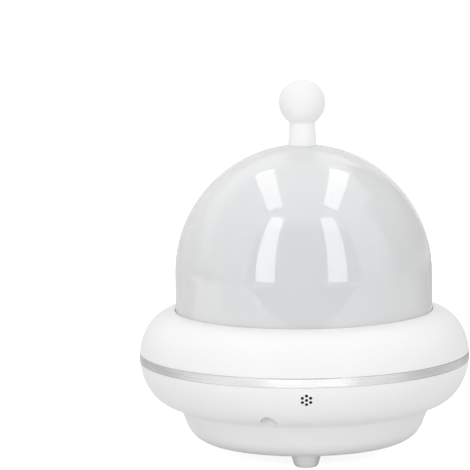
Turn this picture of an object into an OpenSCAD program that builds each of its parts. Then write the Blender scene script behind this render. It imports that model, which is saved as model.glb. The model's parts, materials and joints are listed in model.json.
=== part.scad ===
// Star night light projector: a saucer-shaped table lamp with a lift-off dome.
// A gear-driven turntable carries a clear globe with a pierced star mask round a fixed lamp.
// All sizes are in millimetres. The lamp stands on the XY plane and its front faces -Y.

/* [Housing] */
// Overall radius, at the light ring
ring_r = 72.5; // [69:0.5:78]
// Visible height of the light ring
ring_h = 4; // [3.4:0.2:5]
// Wall of the upper and lower housings
wall = 2.4; // [2.2:0.1:2.6]
// Height of the upper housing above the middle of the light ring
upper_h = 21; // [20:0.5:22]
// Curve radius of the upper housing's side
upper_side_r = 25; // [24:0.5:26]
// Curve radius of the upper housing's shoulder
upper_top_r = 17; // [16:0.5:17.5]
// Depth of the lower housing's bulge below the middle of the light ring
lower_h = 21.4; // [21:0.2:22.6]
// Curve radius of the lower housing's side
lower_side_r = 26; // [25:0.5:27]
// Curve radius of the lower housing's underside
lower_edge_r = 16; // [15:0.5:17]
// Fillet in the crease between bulge and cup
crease_r = 2.5; // [1.5:0.25:3]
// Radius of the cup at the crease
cup_r = 55.5; // [54.5:0.5:56.5]
// Slope of the cup's wall, in degrees from upright
cup_draft = 21.8; // [16:0.4:24]
// Depth of the cup below the crease
cup_h = 15.9; // [15:0.3:18]
// Curve radius between the cup's wall and its floor
cup_edge_r = 11; // [8:0.5:12]

/* [Feet] */
// Height of a foot
foot_h = 5.6; // [4:0.4:8]
// Radius of a foot where it meets the floor of the housing
foot_top_r = 6.7; // [6:0.1:7.2]
// Radius of a foot at its tread
foot_tread_r = 5.2; // [4.5:0.1:5.6]
// Rounding of a foot's edge
foot_edge_r = 1.3; // [0.8:0.1:1.6]
// Distance of the feet from the bottom cover
foot_margin = 0.9; // [0.6:0.1:1.4]
// Radius of the plug that holds a foot in the floor
foot_plug_r = 2; // [1.6:0.1:2.4]

/* [Dome] */
// Outer radius of the dome
dome_r = 56.4; // [56:0.2:57]
// Wall of the dome
dome_wall = 2; // [1.6:0.1:2.2]
// Straight height of the dome below its round part
dome_side_h = 26.3; // [22:0.5:30]
// How deep the dome sits in the upper housing
dome_sink = 11; // [9:0.5:12]
// Gap between the dome and the lip round it
dome_gap = 0.5; // [0.3:0.1:0.6]
// Radius of the flat pad inside the top of the dome
dome_pad_r = 8; // [7.4:0.2:9]

/* [Knob] */
// Radius of the ball
ball_r = 10.25; // [9:0.25:12]
// Height of the ball's centre above the top of the dome
ball_lift = 18.4; // [17:0.4:22]
// Radius of the stem under the ball
stem_top_r = 5.65; // [5:0.1:6]
// Radius of the stem at the dome
stem_base_r = 6.35; // [6:0.1:7]
// Radius of the knob screw
knob_screw_r = 1.5; // [1.2:0.1:1.8]

/* [Film globe] */
// How far the film globe's wall stands inside the pitch circle of its gear
globe_inset = 1.5; // [1.4:0.1:2.4]
// Wall of the film globe
globe_wall = 1; // [0.8:0.1:1.2]
// Straight height of the film globe below its round part
globe_side_h = 18.5; // [17:0.5:21]
// Width of the film globe's base flange beyond its wall
globe_flange = 1.3; // [1:0.1:1.4]

/* [Star mask] */
// Wall of the star mask, which sits over the film globe
mask_wall = 0.6; // [0.5:0.05:0.8]
// Radius of the large stars
star_r = 2.9; // [2.2:0.1:3.2]
// Radius of the small four-pointed stars
sparkle_r = 1.9; // [1.4:0.1:2.2]
// Radius of the round cut-outs
dot_r = 0.8; // [0.5:0.1:1]

/* [Drive] */
// Teeth on the turntable
gear_teeth = 60; // [54:1:66]
// Teeth on the motor pinion
pinion_teeth = 12; // [11:1:13]
// Clearance between the motor pinion and the dome
pinion_gap = 3.04; // [2:0.02:4]
// Direction of the motor, seen from above
drive_angle = 180; // [165:1:195]
// Face width of the gears
gear_face = 5; // [4:0.5:6]
// Play between the teeth
backlash = 0.14; // [0.1:0.02:0.2]
// Outer radius of the fixed lamp post, which the turntable runs on
post_r = 8; // [7.5:0.25:8.5]
// Bore radius of the lamp post, which the leads pass through
post_bore_r = 5; // [4:0.25:5.5]
// Running clearance between the post and the turntable's hub
run_gap = 0.06; // [0.04:0.01:0.08]
// Length of the turntable's hub
hub_h = 10; // [8:0.5:11]
// Body radius of the gear motor
motor_r = 12; // [11:0.5:12.5]
// Body length of the gear motor
motor_h = 14; // [12:0.5:15]
// Distance of the motor's shaft from the middle of its body
shaft_offset = 8; // [7:0.5:8]
// Radius of the motor's shaft
shaft_r = 1.5; // [1.3:0.1:1.8]
// Distance of each motor ear from the middle of the body
ear_x = 15.5; // [15.5:0.25:16.5]

/* [Lamp] */
// Height of the lamp board above the deck
lamp_h = 17; // [16:0.5:19]
// Radius of the lamp board
lamp_board_r = 12.5; // [12:0.25:14]
// Outer radius of the clear lens over the lamp
lens_r = 10.5; // [9.5:0.25:11]
// Wall of the lens
lens_wall = 1.4; // [1.2:0.1:1.8]

/* [Deck] */
// Thickness of the deck plate
deck_t = 2; // [1.8:0.1:2.4]
// Clearance round the deck plate
deck_gap = 0.3; // [0.2:0.05:0.4]

/* [Fasteners] */
// Radius of a screw well in the underside of the lower housing
well_r = 3.6; // [3.4:0.1:4]
// Clearance between the screw bosses and the LED strip
boss_gap = 0.5; // [0.3:0.1:0.8]
// Direction of the first screw well, seen from above
well_angle = -104.5; // [-110:0.5:-100]
// Shank radius of the housing screws
screw_r = 1.5; // [1.3:0.1:1.6]
// Shank radius of the small screws
small_screw_r = 1.1; // [0.9:0.1:1.2]

/* [Microphone] */
// Radius of one sound hole
mic_hole_r = 0.65; // [0.5:0.05:0.8]
// Distance between neighbouring sound holes
mic_pitch = 2; // [1.9:0.05:2.2]
// Thickness of the wall at the sound holes
mic_wall = 1; // [0.8:0.1:1.5]
// Direction of the microphone below level, in degrees
mic_tilt = 16.5; // [14:0.5:18]
// Radius of the microphone capsule
mic_r = 3; // [2.7:0.1:3.3]

/* [Controls] */
// Radius of a push button
button_r = 4.2; // [3.6:0.1:4.6]
// Distance of each push button from the middle of the back
button_x = 13; // [11.5:0.5:14]
// Depth of the push buttons below the middle of the light ring
button_drop = 9; // [8.5:0.5:9.5]
// Depth of the pads behind the push buttons, in from the light ring's radius
button_depth = 9.2; // [8.8:0.1:9.6]
// Travel of a push button
button_travel = 0.8; // [0.5:0.1:1]
// Gap round a push button and round the power slider
button_gap = 0.3; // [0.2:0.05:0.35]
// Height of the charging socket's middle above the floor of the cup
socket_lift = 9.5; // [9:0.5:11]
// Width of the charging socket
socket_w = 9; // [8.6:0.1:9.4]
// Height of the charging socket
socket_t = 3.2; // [3:0.1:3.4]
// Direction of the power slider, seen from above
slider_angle = 62; // [60:1:66]
// Travel of the power slider
slider_travel = 3; // [2:0.5:3]

/* [Electronics] */
// Radius of the main board
board_r = 43; // [42:0.5:45]
// Thickness of every circuit board
board_t = 1.6; // [1.2:0.1:1.8]
// Height of the main board above the floor of the cup
board_lift = 20.5; // [19.5:0.5:21]
// Length of the battery pack
battery_w = 34; // [30:1:35]
// Width of the battery pack
battery_d = 40; // [34:1:42]
// Thickness of the battery pack
battery_t = 8.5; // [7:0.5:9]
// Number of LEDs round the light ring
ring_led_count = 24; // [12:6:30]

/* [Hidden] */
$fn = 72;

// Colours
white = "white";
pale_grey = "gainsboro";
board_green = "seagreen";
steel = "silver";

// Fits
seat_gap = 0.3;
slip_gap = 0.1;
screw_gap = 0.2;
thread_gap = 0.03;
eps = 0.01;
// Length by which a cut runs past the face that it opens
past = 1;

// Heights above the table
base_z = foot_h;
floor_z = base_z + wall;
root_z = base_z + wall / 2;
crease_z = base_z + cup_h;
ring_z = crease_z + lower_h;
crest_z = ring_z + upper_h;
deck_z = crest_z - dome_sink;
dome_mid_z = deck_z + dome_side_h;
dome_top_z = dome_mid_z + dome_r;
ball_z = dome_top_z + ball_lift;

// Curve centres of the two bulges, as [radius, height]
upper_side_c = [ring_r - upper_side_r, ring_z];
upper_top_c = [ring_r - upper_side_r
    + sqrt(pow(upper_side_r - upper_top_r, 2) - pow(upper_h - upper_top_r, 2)), crest_z - upper_top_r];
lower_side_c = [ring_r - lower_side_r, ring_z];
lower_edge_c = [ring_r - lower_side_r
    + sqrt(pow(lower_side_r - lower_edge_r, 2) - pow(lower_h - lower_edge_r, 2)), crease_z + lower_edge_r];
upper_join = atan2(upper_top_c[1] - upper_side_c[1], upper_top_c[0] - upper_side_c[0]);
lower_join = atan2(lower_edge_c[1] - lower_side_c[1], lower_edge_c[0] - lower_side_c[0]);

// Pad, washer and screw that hold the knob
dome_inner_r = dome_r - dome_wall;
pad_t = 1.2;
pad_z = dome_mid_z + dome_inner_r - pad_t;
knob_washer_t = 1.2;
washer_z = pad_z - knob_washer_t;
knob_screw_len = 13;
knob_head_r = 3.2;
knob_head_t = 2.1;

// Lip and seats of the dome
lip_r = dome_r + dome_gap;
skirt_t = 2;
skirt_r = lip_r + skirt_t;
lip_round = 0.6;
lip_z = arc_top(upper_top_c, upper_top_r, lip_r + lip_round);
deck_inset = 0.2;
deck_r = dome_inner_r - deck_gap - deck_inset;
deck_seat_r = deck_r + deck_gap;
ledge_w = 4.7;
deck_hole_r = deck_seat_r - ledge_w;
ledge_t = 2;
deck_seat_z = deck_z - deck_t;
ledge_z = deck_seat_z - ledge_t;
deck_boss_r = 2.4;
deck_boss_h = 4;
deck_screw_circle = (deck_seat_r + deck_hole_r) / 2;
deck_screw_first = 30;
deck_screw_len = 5;

// Cup of the lower housing
wall_out = [cos(cup_draft), -sin(cup_draft)];
wall_up = [sin(cup_draft), cos(cup_draft)];
cup_corner = [cup_r, crease_z];
fillet_from = cup_corner + crease_r * wall_out - lower_edge_c;
fillet_along = fillet_from * wall_up;
fillet_slide = -fillet_along - sqrt(pow(fillet_along, 2) - fillet_from * fillet_from
    + pow(lower_edge_r + crease_r, 2));
crease_c = cup_corner + crease_r * wall_out + fillet_slide * wall_up;
crease_turn = atan2(crease_c[1] - lower_edge_c[1], crease_c[0] - lower_edge_c[0]);
cup_edge_c = [cup_r + (-cup_edge_r - (base_z + cup_edge_r - crease_z) * wall_out[1]) / wall_out[0],
    base_z + cup_edge_r];

// Light ring and what it clamps between
rib_gap = 0.5;
rib_t = 0.7;
rib_lap = 0.8;
ring_rib_r = ring_r - wall - rib_gap;
ring_inner_r = ring_rib_r - rib_t;
ring_rib_h = ring_h + 2 * rib_lap;
rim_bevel = 0.3;
led_size = [1.1, 3.2, 3];
led_lift = 0.02;
strip_r = ring_inner_r - led_size[0] - seat_gap;
strip_t = 0.6;
strip_h = ring_rib_h - 1;
shelf_gap = 0.2;
shelf_z = ring_z - ring_rib_h / 2 - shelf_gap;
shelf_t = 1.8;

// Bottom opening and cover
hatch_r = 28.4;
hatch_gap = 0.25;
hatch_lip = 3;
hatch_boss_r = 3.1;
hatch_screw_circle = hatch_r - hatch_boss_r;
hatch_first = 90;
hatch_boss_h = 4;
hatch_screw_len = 4;
ledge_ring_w = 3;
foot_circle_r = hatch_r + foot_margin + foot_top_r;
foot_angles = [-90, 150, 30];
foot_bulb_w = 0.8;
foot_bulb_h = 2;

// Microphone
mic_h = 2.1;
mic_screen_t = 0.4;
mic_holder_h = 1.8;
mic_holder_t = 1.2;

// Screws
head_r = 2.7;
head_t = 1.8;
small_head_r = 2;
small_head_t = 1.3;
well_seat_z = ring_z - ring_rib_h / 2 - 1;
well_wall = 1.4;
well_tube_r = well_r + well_wall;
well_seat_t = 3;
boss_r = 2.8;
well_circle_r = strip_r - strip_t - boss_gap - boss_r;
boss_hole_depth = 11;
housing_screw_len = 10;
screw_count = 3;

// Turntable and drive
addendum = 0.8;
dedendum = 1.05;
pressure_angle = 20;
gear_module = (dome_inner_r - pinion_gap) / (gear_teeth / 2 + pinion_teeth + addendum);
gear_pitch_r = gear_module * gear_teeth / 2;
pinion_pitch_r = gear_module * pinion_teeth / 2;
gear_tip = addendum * gear_module;
gear_root = dedendum * gear_module;
shaft_x = gear_pitch_r + pinion_pitch_r;
motor_x = shaft_x - shaft_offset;
washer_t = 0.8;
hub_z = deck_z + washer_t + slip_gap;
gear_z = hub_z + 0.8;
gear_top_z = gear_z + gear_face;
hub_wall = 4;
hub_r = post_r + hub_wall;
web_t = 2;
rim_t = 1.6;
spoke_t = 1.4;
spoke_h = 3.4;
spigot_h = 2.4;
web_hole_r = 6;
clip_t = 0.8;
clip_w = 2.2;
clip_mouth = 9.6;
clip_z = hub_z + hub_h + slip_gap;
groove_depth = 0.8;
globe_z = gear_top_z + seat_gap;
globe_mid_z = globe_z + globe_side_h;
globe_r = gear_pitch_r - globe_inset;
globe_inner_r = globe_r - globe_wall;
flange_t = 1.5;
mask_inner_r = globe_r + slip_gap;
mask_r = mask_inner_r + mask_wall;
spigot_r = globe_inner_r - seat_gap;
key_w = 5;
key_t = 1.2;
key_angles = [0, 120, 240];
mask_cut_h = mask_wall + 3 * past;
star_waist = 0.42;
sparkle_waist = 0.36;
// Rows of cut-outs on the mask's round top, as [count, first direction, elevation]
crown_dots = [5, 0, 75];
upper_stars = [7, 20, 60];
upper_sparkles = [11, 5, 45];
middle_stars = [11, 21.4, 31];
middle_dots = [22, 0, 18];
lower_stars = [13, 10, 5];
// Rows on its straight side, as [count, first direction, depth below the round top]
side_sparkles = [13, 10 + 180 / 13, 4];
side_dots = [26, 4, 10];
edge_sparkles = [13, 10, 14];
post_flange_r = 14;
post_flange_t = 2;
post_screw_circle = 11;
post_screw_first = 90;
post_screw_skin = 0.4;
lamp_z = deck_z + lamp_h;
sink_t = 4;
fin_count = 12;
fin_t = 1;
lead_hole_r = 2;
board_notch_r = 1.4;
led_w = 3.6;
led_pitch = 5.2;
lens_side_h = 2;
lens_rim = 1;
post_top_z = lamp_z - sink_t;
led_t = 1.2;
motor_z = deck_seat_z - motor_h;
motor_shaft_depth = 6;
shaft_clear = 1.5;
shaft_proud = 0.8;
pinion_collar_t = 0.8;
motor_screw_len = 5;
ear_t = 1;
ear_r = 3.2;
outlet = [2, 10, 6];

// Controls at the back
button_z = ring_z - button_drop;
button_face_y = ring_r - button_depth;
button_flange_t = 1.1;
button_flange_r = button_r + 1.3;
button_stem_r = 1.9;
button_stem_h = 2.8;
button_proud = 0.9;
button_skin_y = sqrt(pow(lower_side_c[0]
    + sqrt(pow(lower_side_r, 2) - pow(button_drop, 2)), 2) - pow(button_x, 2));
switch_t = 3.5;
plunger_t = 0.5;
switch_gap = button_travel + 0.1;
button_back_y = button_face_y - seat_gap - button_flange_t;
button_board_y = button_back_y - button_stem_h - switch_gap - plunger_t - switch_t - board_t;
button_board_side = 11;
button_board_w = 2 * (button_x + button_board_side);
button_post_r = 2.4;
button_post_x = button_board_w / 2 - button_post_r - screw_gap;
button_post_h = 14;
button_board_h = 12;
button_screw_len = 7;
button_screw_hole = 8;
switch_w = 6;
plunger_r = 1.7;
button_cap_r = 14;
socket_z = floor_z + socket_lift;
socket_len = 8.4;
socket_gap = 0.3;
socket_wall = 0.35;
socket_back_t = 1;
tongue = [6.4, 6, 0.7];
socket_y = cup_wall_r(socket_z) - 1;
charge_board_z = socket_z - socket_t / 2 - board_t;
charge_board_w = 20;
charge_board_d = 13;
charge_peg_r = 2;
charge_peg_x = 7;
charge_board_back = sqrt(pow(cup_wall_r(charge_board_z) - wall / cos(cup_draft) - seat_gap, 2)
    - pow(charge_board_w / 2, 2));
charge_peg_y = charge_board_back - 3;
slider_z = socket_z;
slider_t = 2.4;
slider_w = 3;
slider_r = cup_wall_r(slider_z);
slider_base = [0.8, 8, 4];
slider_back = slider_r - wall / cos(cup_draft) - 2.2;
switch_body = [4, 9, 4.4];
switch_front = slider_back - slider_base[0] - slip_gap;
slider_proud = 0.6;
window_w = slider_w + slider_travel + 2 * button_gap;
window_t = slider_t + 2 * button_gap;

// Boards
board_z = floor_z + board_lift;
post_angles = [-30, 60, 120, 210];
board_edge = 5;
board_post_circle = board_r - board_edge;
board_post_r = 2.8;
board_screw_len = 6;
board_corner_r = 1;
lead_pass_y = board_r - 9;
lead_pass_r = 4;
chip_x = 14;
chip_w = 9;
chip_t = 1.6;
driver_chip = [5, 4, 1.5];
header = [8, 5, 4.6];
header_wall = 1;
header_pitch = 11;
header_y = 24;
capacitor_r = 3.2;
capacitor_h = 6;
capacitor_y = 12;
inductor_w = 8;
battery_edge_r = 3;
tape_inset = 5;
tape_t = 1;
battery_z = floor_z + tape_t;

// ---------- Outline helpers ----------

function arc(c, r, from, to, steps) =
    [for (i = [0 : steps]) let (a = from + (to - from) * i / steps) c + r * [cos(a), sin(a)]];

function arc_top(c, r, x) = c[1] + sqrt(pow(r, 2) - pow(x - c[0], 2));

// Outer radius of the cup's tapered wall at a height
function cup_wall_r(z) = cup_r + (z - crease_z) * tan(cup_draft);

// Involute gear outline, teeth centred on multiples of the tooth angle
function involute(a) = tan(a) * 180 / PI - a;

function flank(teeth, r) =
    let (pitch = gear_module * teeth / 2, base = pitch * cos(pressure_angle))
    90 / teeth - backlash / 2 / pitch * 180 / PI + involute(pressure_angle)
        - involute(acos(min(1, base / r)));

function polar(r, a) = r * [cos(a), sin(a)];

function gear_outline(teeth) =
    let (pitch = gear_module * teeth / 2, root = pitch - gear_root, tip = pitch + gear_tip,
        start = max(root, pitch * cos(pressure_angle)))
    [for (i = [0 : teeth - 1]) let (mid = i * 360 / teeth) each concat(
        root < start ? [polar(root, mid - flank(teeth, start))] : [],
        [for (k = [0 : 3]) let (r = start + (tip - start) * k / 3) polar(r, mid - flank(teeth, r))],
        [for (k = [3 : -1 : 0]) let (r = start + (tip - start) * k / 3) polar(r, mid + flank(teeth, r))],
        root < start ? [polar(root, mid + flank(teeth, start))] : [])];

module around(count, radius, first = 0) {
    for (i = [0 : count - 1])
        rotate(first + i * 360 / count)
            translate([radius, 0, 0])
                children();
}

// A plate with round corners, centred in X and Y
module rounded_plate(w, d, h, r) {
    translate([-w / 2 + r, -d / 2, 0])
        cube([w - 2 * r, d, h]);
    translate([-w / 2, -d / 2 + r, 0])
        cube([w, d - 2 * r, h]);
    for (x = [-1, 1], y = [-1, 1])
        translate([x * (w / 2 - r), y * (d / 2 - r), 0])
            cylinder(r = r, h = h);
}

module tube(outer, inner, h) {
    difference() {
        cylinder(r = outer, h = h);
        translate([0, 0, -past])
            cylinder(r = inner, h = h + 2 * past);
    }
}

// A pan-head screw, head down at z = 0 and shank upwards
module screw(shank_r, len, h_r, h_t) {
    recess_len = 1.2 * h_r;
    recess_w = 0.24 * h_r;
    recess_h = 0.5 * h_t;
    difference() {
        union() {
            translate([0, 0, -h_t])
                cylinder(r = h_r, h = h_t);
            translate([0, 0, -eps])
                cylinder(r = shank_r, h = len + eps);
        }
        for (a = [0, 90])
            rotate(a)
                translate([-recess_len / 2, -recess_w / 2, -h_t - past])
                    cube([recess_len, recess_w, past + recess_h]);
    }
}

// A point in the frame of a bore that leaves the back of the housing
module at_back(x, y, z) {
    translate([x, y, z])
        rotate([-90, 0, 0])
            children();
}

// ---------- Housing profiles ----------

module upper_profile() {
    bevel = rim_bevel;
    rim_z = ring_z + ring_h / 2;
    rim_angle = asin(ring_h / 2 / upper_side_r);
    inner_rim = asin(ring_h / 2 / (upper_side_r - wall));
    roof_r = upper_top_r - wall;
    roof_angle = acos((skirt_r - upper_top_c[0]) / roof_r);
    rim_r = upper_side_c[0] + upper_side_r * cos(rim_angle);
    polygon(concat(
        [[rim_r - bevel, rim_z], [rim_r, rim_z + bevel]],
        arc(upper_side_c, upper_side_r, rim_angle + 2, upper_join, 7),
        arc(upper_top_c, upper_top_r, upper_join + 4, acos((lip_r + lip_round - upper_top_c[0]) / upper_top_r), 10),
        arc([lip_r + lip_round, lip_z - lip_round], lip_round, 90, 180, 4),
        [[lip_r, deck_z], [deck_seat_r, deck_z], [deck_seat_r, deck_seat_z], [deck_hole_r, deck_seat_z],
            [deck_hole_r, ledge_z], [skirt_r, ledge_z]],
        arc(upper_top_c, roof_r, roof_angle, upper_join + 4, 8),
        arc(upper_side_c, upper_side_r - wall, upper_join, inner_rim, 6)));
}

module lower_outline(inset) {
    rim_z = ring_z - ring_h / 2;
    rim_angle = -asin(ring_h / 2 / lower_side_r);
    rim_r = lower_side_c[0] + lower_side_r * cos(rim_angle);
    polygon(concat(
        [[0, rim_z], [rim_r - rim_bevel, rim_z], [rim_r, rim_z - rim_bevel]],
        arc(lower_side_c, lower_side_r, rim_angle - 2, lower_join, 7),
        arc(lower_edge_c, lower_edge_r, lower_join - 4, crease_turn, 10),
        arc(crease_c, crease_r, crease_turn + 180, 180 - cup_draft, 6),
        arc(cup_edge_c, cup_edge_r, -cup_draft, -90, 9),
        [[0, base_z]]));
}

module lower_cavity() {
    inner_side_r = lower_side_r - wall;
    inner_edge_r = lower_edge_r - wall;
    inner_cup_r = cup_edge_r - wall;
    rim_angle = -asin(ring_h / 2 / inner_side_r);
    sill_z = lower_edge_c[1] - inner_edge_r;
    sill_r = cup_wall_r(sill_z) - wall / cos(cup_draft);
    polygon(concat(
        [[0, ring_z + past], [lower_side_c[0] + inner_side_r * cos(rim_angle), ring_z + past]],
        arc(lower_side_c, inner_side_r, rim_angle, lower_join, 7),
        arc(lower_edge_c, inner_edge_r, lower_join - 4, -90, 9),
        [[sill_r, sill_z]],
        arc(cup_edge_c, inner_cup_r, -cup_draft, -90, 7),
        [[0, floor_z]]));
}

// ---------- Dome and knob ----------

module ball_knob() {
    stem_h = sqrt(pow(ball_r, 2) - pow(stem_top_r, 2));
    stem_foot_z = dome_mid_z + sqrt(pow(dome_r, 2) - pow(stem_base_r, 2)) - past;
    color(white)
        difference() {
            union() {
                translate([0, 0, ball_z])
                    sphere(r = ball_r);
                translate([0, 0, stem_foot_z])
                    cylinder(r1 = stem_base_r, r2 = stem_top_r, h = ball_z - stem_h - stem_foot_z + past / 2);
            }
            translate([0, 0, dome_mid_z])
                sphere(r = dome_r + run_gap);
            translate([0, 0, washer_z])
                cylinder(r = knob_screw_r + thread_gap, h = knob_screw_len + past);
        }
}

module dome_cover() {
    color("lavender", 0.6)
        difference() {
            union() {
                difference() {
                    union() {
                        translate([0, 0, deck_z])
                            cylinder(r = dome_r, h = dome_side_h);
                        translate([0, 0, dome_mid_z])
                            sphere(r = dome_r);
                    }
                    translate([0, 0, deck_z - dome_r])
                        cylinder(r = dome_r + past, h = dome_r);
                    translate([0, 0, deck_z - past])
                        cylinder(r = dome_inner_r, h = dome_side_h + past);
                    translate([0, 0, dome_mid_z])
                        sphere(r = dome_inner_r);
                }
                translate([0, 0, pad_z])
                    cylinder(r = dome_pad_r, h = pad_t + dome_wall / 4);
            }
            translate([0, 0, pad_z - past])
                cylinder(r = knob_screw_r + screw_gap, h = pad_t + dome_wall + 2 * past);
        }
}

module knob_washer() {
    color(pale_grey)
        translate([0, 0, washer_z])
            tube(dome_pad_r - 1, knob_screw_r + screw_gap, knob_washer_t);
}

module knob_screw() {
    color(steel)
        translate([0, 0, washer_z])
            screw(knob_screw_r, knob_screw_len, knob_head_r, knob_head_t);
}

// ---------- Housing ----------

module upper_housing() {
    roof_z = arc_top(upper_top_c, upper_top_r, well_circle_r + boss_r) - wall / 2;
    color(white)
        difference() {
            union() {
                rotate_extrude()
                    upper_profile();
                // Screw bosses, which stay outside the dome's skirt
                intersection() {
                    around(screw_count, well_circle_r, well_angle)
                        translate([0, 0, well_seat_z])
                            cylinder(r = boss_r, h = roof_z - well_seat_z);
                    translate([0, 0, well_seat_z])
                        tube(ring_r, skirt_r - skirt_t / 2, upper_h + ring_h);
                }
                around(screw_count, deck_screw_circle, deck_screw_first)
                    translate([0, 0, ledge_z - deck_boss_h])
                        cylinder(r = deck_boss_r, h = deck_boss_h + eps);
            }
            around(screw_count, well_circle_r, well_angle)
                translate([0, 0, well_seat_z - past])
                    cylinder(r = screw_r + thread_gap, h = boss_hole_depth + past);
            around(screw_count, deck_screw_circle, deck_screw_first)
                translate([0, 0, deck_z - small_head_t - deck_screw_len - slip_gap])
                    cylinder(r = small_screw_r + thread_gap, h = deck_screw_len + small_head_t);
        }
}

module light_ring() {
    color("silver")
        translate([0, 0, ring_z])
            rotate_extrude()
                polygon([[ring_inner_r, -ring_rib_h / 2], [ring_rib_r, -ring_rib_h / 2],
                    [ring_rib_r, -ring_h / 2], [ring_r, -ring_h / 2], [ring_r, ring_h / 2],
                    [ring_rib_r, ring_h / 2], [ring_rib_r, ring_rib_h / 2],
                    [ring_inner_r, ring_rib_h / 2]]);
}

module lower_housing() {
    color(white)
        difference() {
            union() {
                difference() {
                    rotate_extrude()
                        lower_outline();
                    rotate_extrude()
                        lower_cavity();
                }
                // Everything that stands inside, up to the shelf
                intersection() {
                    rotate_extrude()
                        lower_outline();
                    translate([0, 0, base_z])
                        cylinder(r = ring_r, h = shelf_z - base_z);
                    union() {
                        // Shelf that carries the LED strip and the light ring's rib
                        translate([0, 0, shelf_z - shelf_t])
                            tube(ring_r, strip_r - strip_t, shelf_t);
                        // Tubes of the screw wells
                        around(screw_count, well_circle_r, well_angle)
                            translate([0, 0, crease_z])
                                cylinder(r = well_tube_r, h = well_seat_z - crease_z);
                        // Flat pads behind the push buttons
                        for (x = [-button_x, button_x])
                            at_back(x, button_face_y, button_z)
                                cylinder(r = button_flange_r + 1, h = button_depth + past);
                        // Posts for the button board
                        for (x = [-button_post_x, button_post_x])
                            at_back(x, button_board_y + board_t, button_z)
                                cylinder(r = button_post_r, h = button_post_h);
                        // Holder of the microphone
                        mic_frame()
                            translate([0, 0, -wall - mic_holder_h])
                                cylinder(r = mic_r + mic_holder_t, h = mic_holder_h + wall / 2);
                        // Posts for the main board
                        for (a = post_angles)
                            rotate(a)
                                translate([board_post_circle, 0, root_z])
                                    cylinder(r = board_post_r, h = board_z - root_z);
                        // Pegs for the charging board
                        for (x = [-charge_peg_x, charge_peg_x])
                            translate([x, charge_peg_y, root_z])
                                cylinder(r = charge_peg_r, h = charge_board_z - root_z);
                        // Pedestal of the power switch
                        rotate(slider_angle)
                            translate([switch_front - switch_body[0], -switch_body[1] / 2, root_z])
                                cube([switch_body[0], switch_body[1],
                                    slider_z - switch_body[2] / 2 - root_z]);
                        // Ledge and bosses round the bottom opening
                        translate([0, 0, root_z])
                            tube(hatch_r + ledge_ring_w, hatch_r - hatch_lip, floor_z + wall - root_z);
                        around(screw_count, hatch_screw_circle, hatch_first)
                            translate([0, 0, floor_z])
                                cylinder(r = hatch_boss_r, h = hatch_boss_h);
                    }
                }
            }
            // Bottom opening
            translate([0, 0, base_z - past])
                cylinder(r = hatch_r, h = wall + past);
            around(screw_count, hatch_screw_circle, hatch_first)
                translate([0, 0, floor_z - past])
                    cylinder(r = small_screw_r + thread_gap, h = hatch_boss_h);
            // Screw wells and their clearance holes
            around(screw_count, well_circle_r, well_angle) {
                translate([0, 0, crease_z - 2 * past])
                    cylinder(r = well_r, h = well_seat_z - well_seat_t - crease_z + 2 * past);
                translate([0, 0, crease_z])
                    cylinder(r = screw_r + screw_gap, h = lower_h);
            }
            // Holes for the feet
            for (a = foot_angles)
                rotate(a)
                    translate([foot_circle_r, 0, base_z - past])
                        cylinder(r = foot_plug_r + slip_gap, h = wall + 2 * past);
            // Sound holes and the microphone's seat
            mic_frame()
                mic_holes();
            mic_frame()
                translate([0, 0, -wall - mic_holder_h - past])
                    cylinder(r = mic_r + slip_gap, h = mic_holder_h + wall - mic_wall + past);
            // Push button bores and their board's screw holes
            for (x = [-button_x, button_x])
                at_back(x, button_face_y - past, button_z)
                    cylinder(r = button_r + button_gap, h = button_depth + 2 * past);
            for (x = [-button_post_x, button_post_x])
                at_back(x, button_board_y, button_z)
                    cylinder(r = small_screw_r + thread_gap, h = button_screw_hole);
            // Charging socket's slot
            at_back(0, socket_y - 3 * wall, socket_z)
                socket_shape(socket_gap, 6 * wall);
            // Power slider's window
            rotate(slider_angle)
                translate([slider_r - 3 * wall, -window_w / 2, slider_z - window_t / 2])
                    cube([6 * wall, window_w, window_t]);
            // Screw holes in the posts
            for (a = post_angles)
                rotate(a)
                    translate([board_post_circle, 0, board_z - board_screw_len])
                        cylinder(r = small_screw_r + thread_gap, h = board_screw_len + past);
        }
}

module housing_screws() {
    color(steel)
        around(screw_count, well_circle_r, well_angle)
            translate([0, 0, well_seat_z - well_seat_t])
                screw(screw_r, housing_screw_len, head_r, head_t);
}

module bottom_cover() {
    color(white)
        difference() {
            translate([0, 0, base_z])
                cylinder(r = hatch_r - hatch_gap, h = wall);
            around(screw_count, hatch_screw_circle, hatch_first) {
                translate([0, 0, base_z - past])
                    cylinder(r = small_screw_r + screw_gap, h = wall + 2 * past);
                translate([0, 0, base_z - past])
                    cylinder(r = small_head_r + screw_gap, h = past + small_head_t);
            }
        }
}

module cover_screws() {
    color(steel)
        around(screw_count, hatch_screw_circle, hatch_first)
            translate([0, 0, base_z + small_head_t])
                screw(small_screw_r, hatch_screw_len, small_head_r, small_head_t);
}

// A foot with its tread at z = 0 and a plug that snaps through the floor
module foot(angle) {
    slope = atan((foot_top_r - foot_tread_r) / foot_h);
    edge_c = [foot_tread_r - foot_edge_r, foot_edge_r];
    bulb_z = floor_z + slip_gap;
    bulb_r = foot_plug_r + foot_bulb_w;
    color(pale_grey)
        rotate(angle)
            translate([foot_circle_r, 0, 0])
                rotate_extrude()
                    polygon(concat(
                        [[0, 0]],
                        arc(edge_c, foot_edge_r, -90, -slope, 5),
                        [[foot_top_r, foot_h], [foot_plug_r, foot_h], [foot_plug_r, bulb_z],
                            [bulb_r, bulb_z], [bulb_r, bulb_z + foot_bulb_w],
                            [foot_plug_r - foot_bulb_w, bulb_z + foot_bulb_h],
                            [0, bulb_z + foot_bulb_h]]));
}

module front_foot() {
    foot(foot_angles[0]);
}

module left_foot() {
    foot(foot_angles[1]);
}

module right_foot() {
    foot(foot_angles[2]);
}

// ---------- Deck, turntable and film globe ----------

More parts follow.
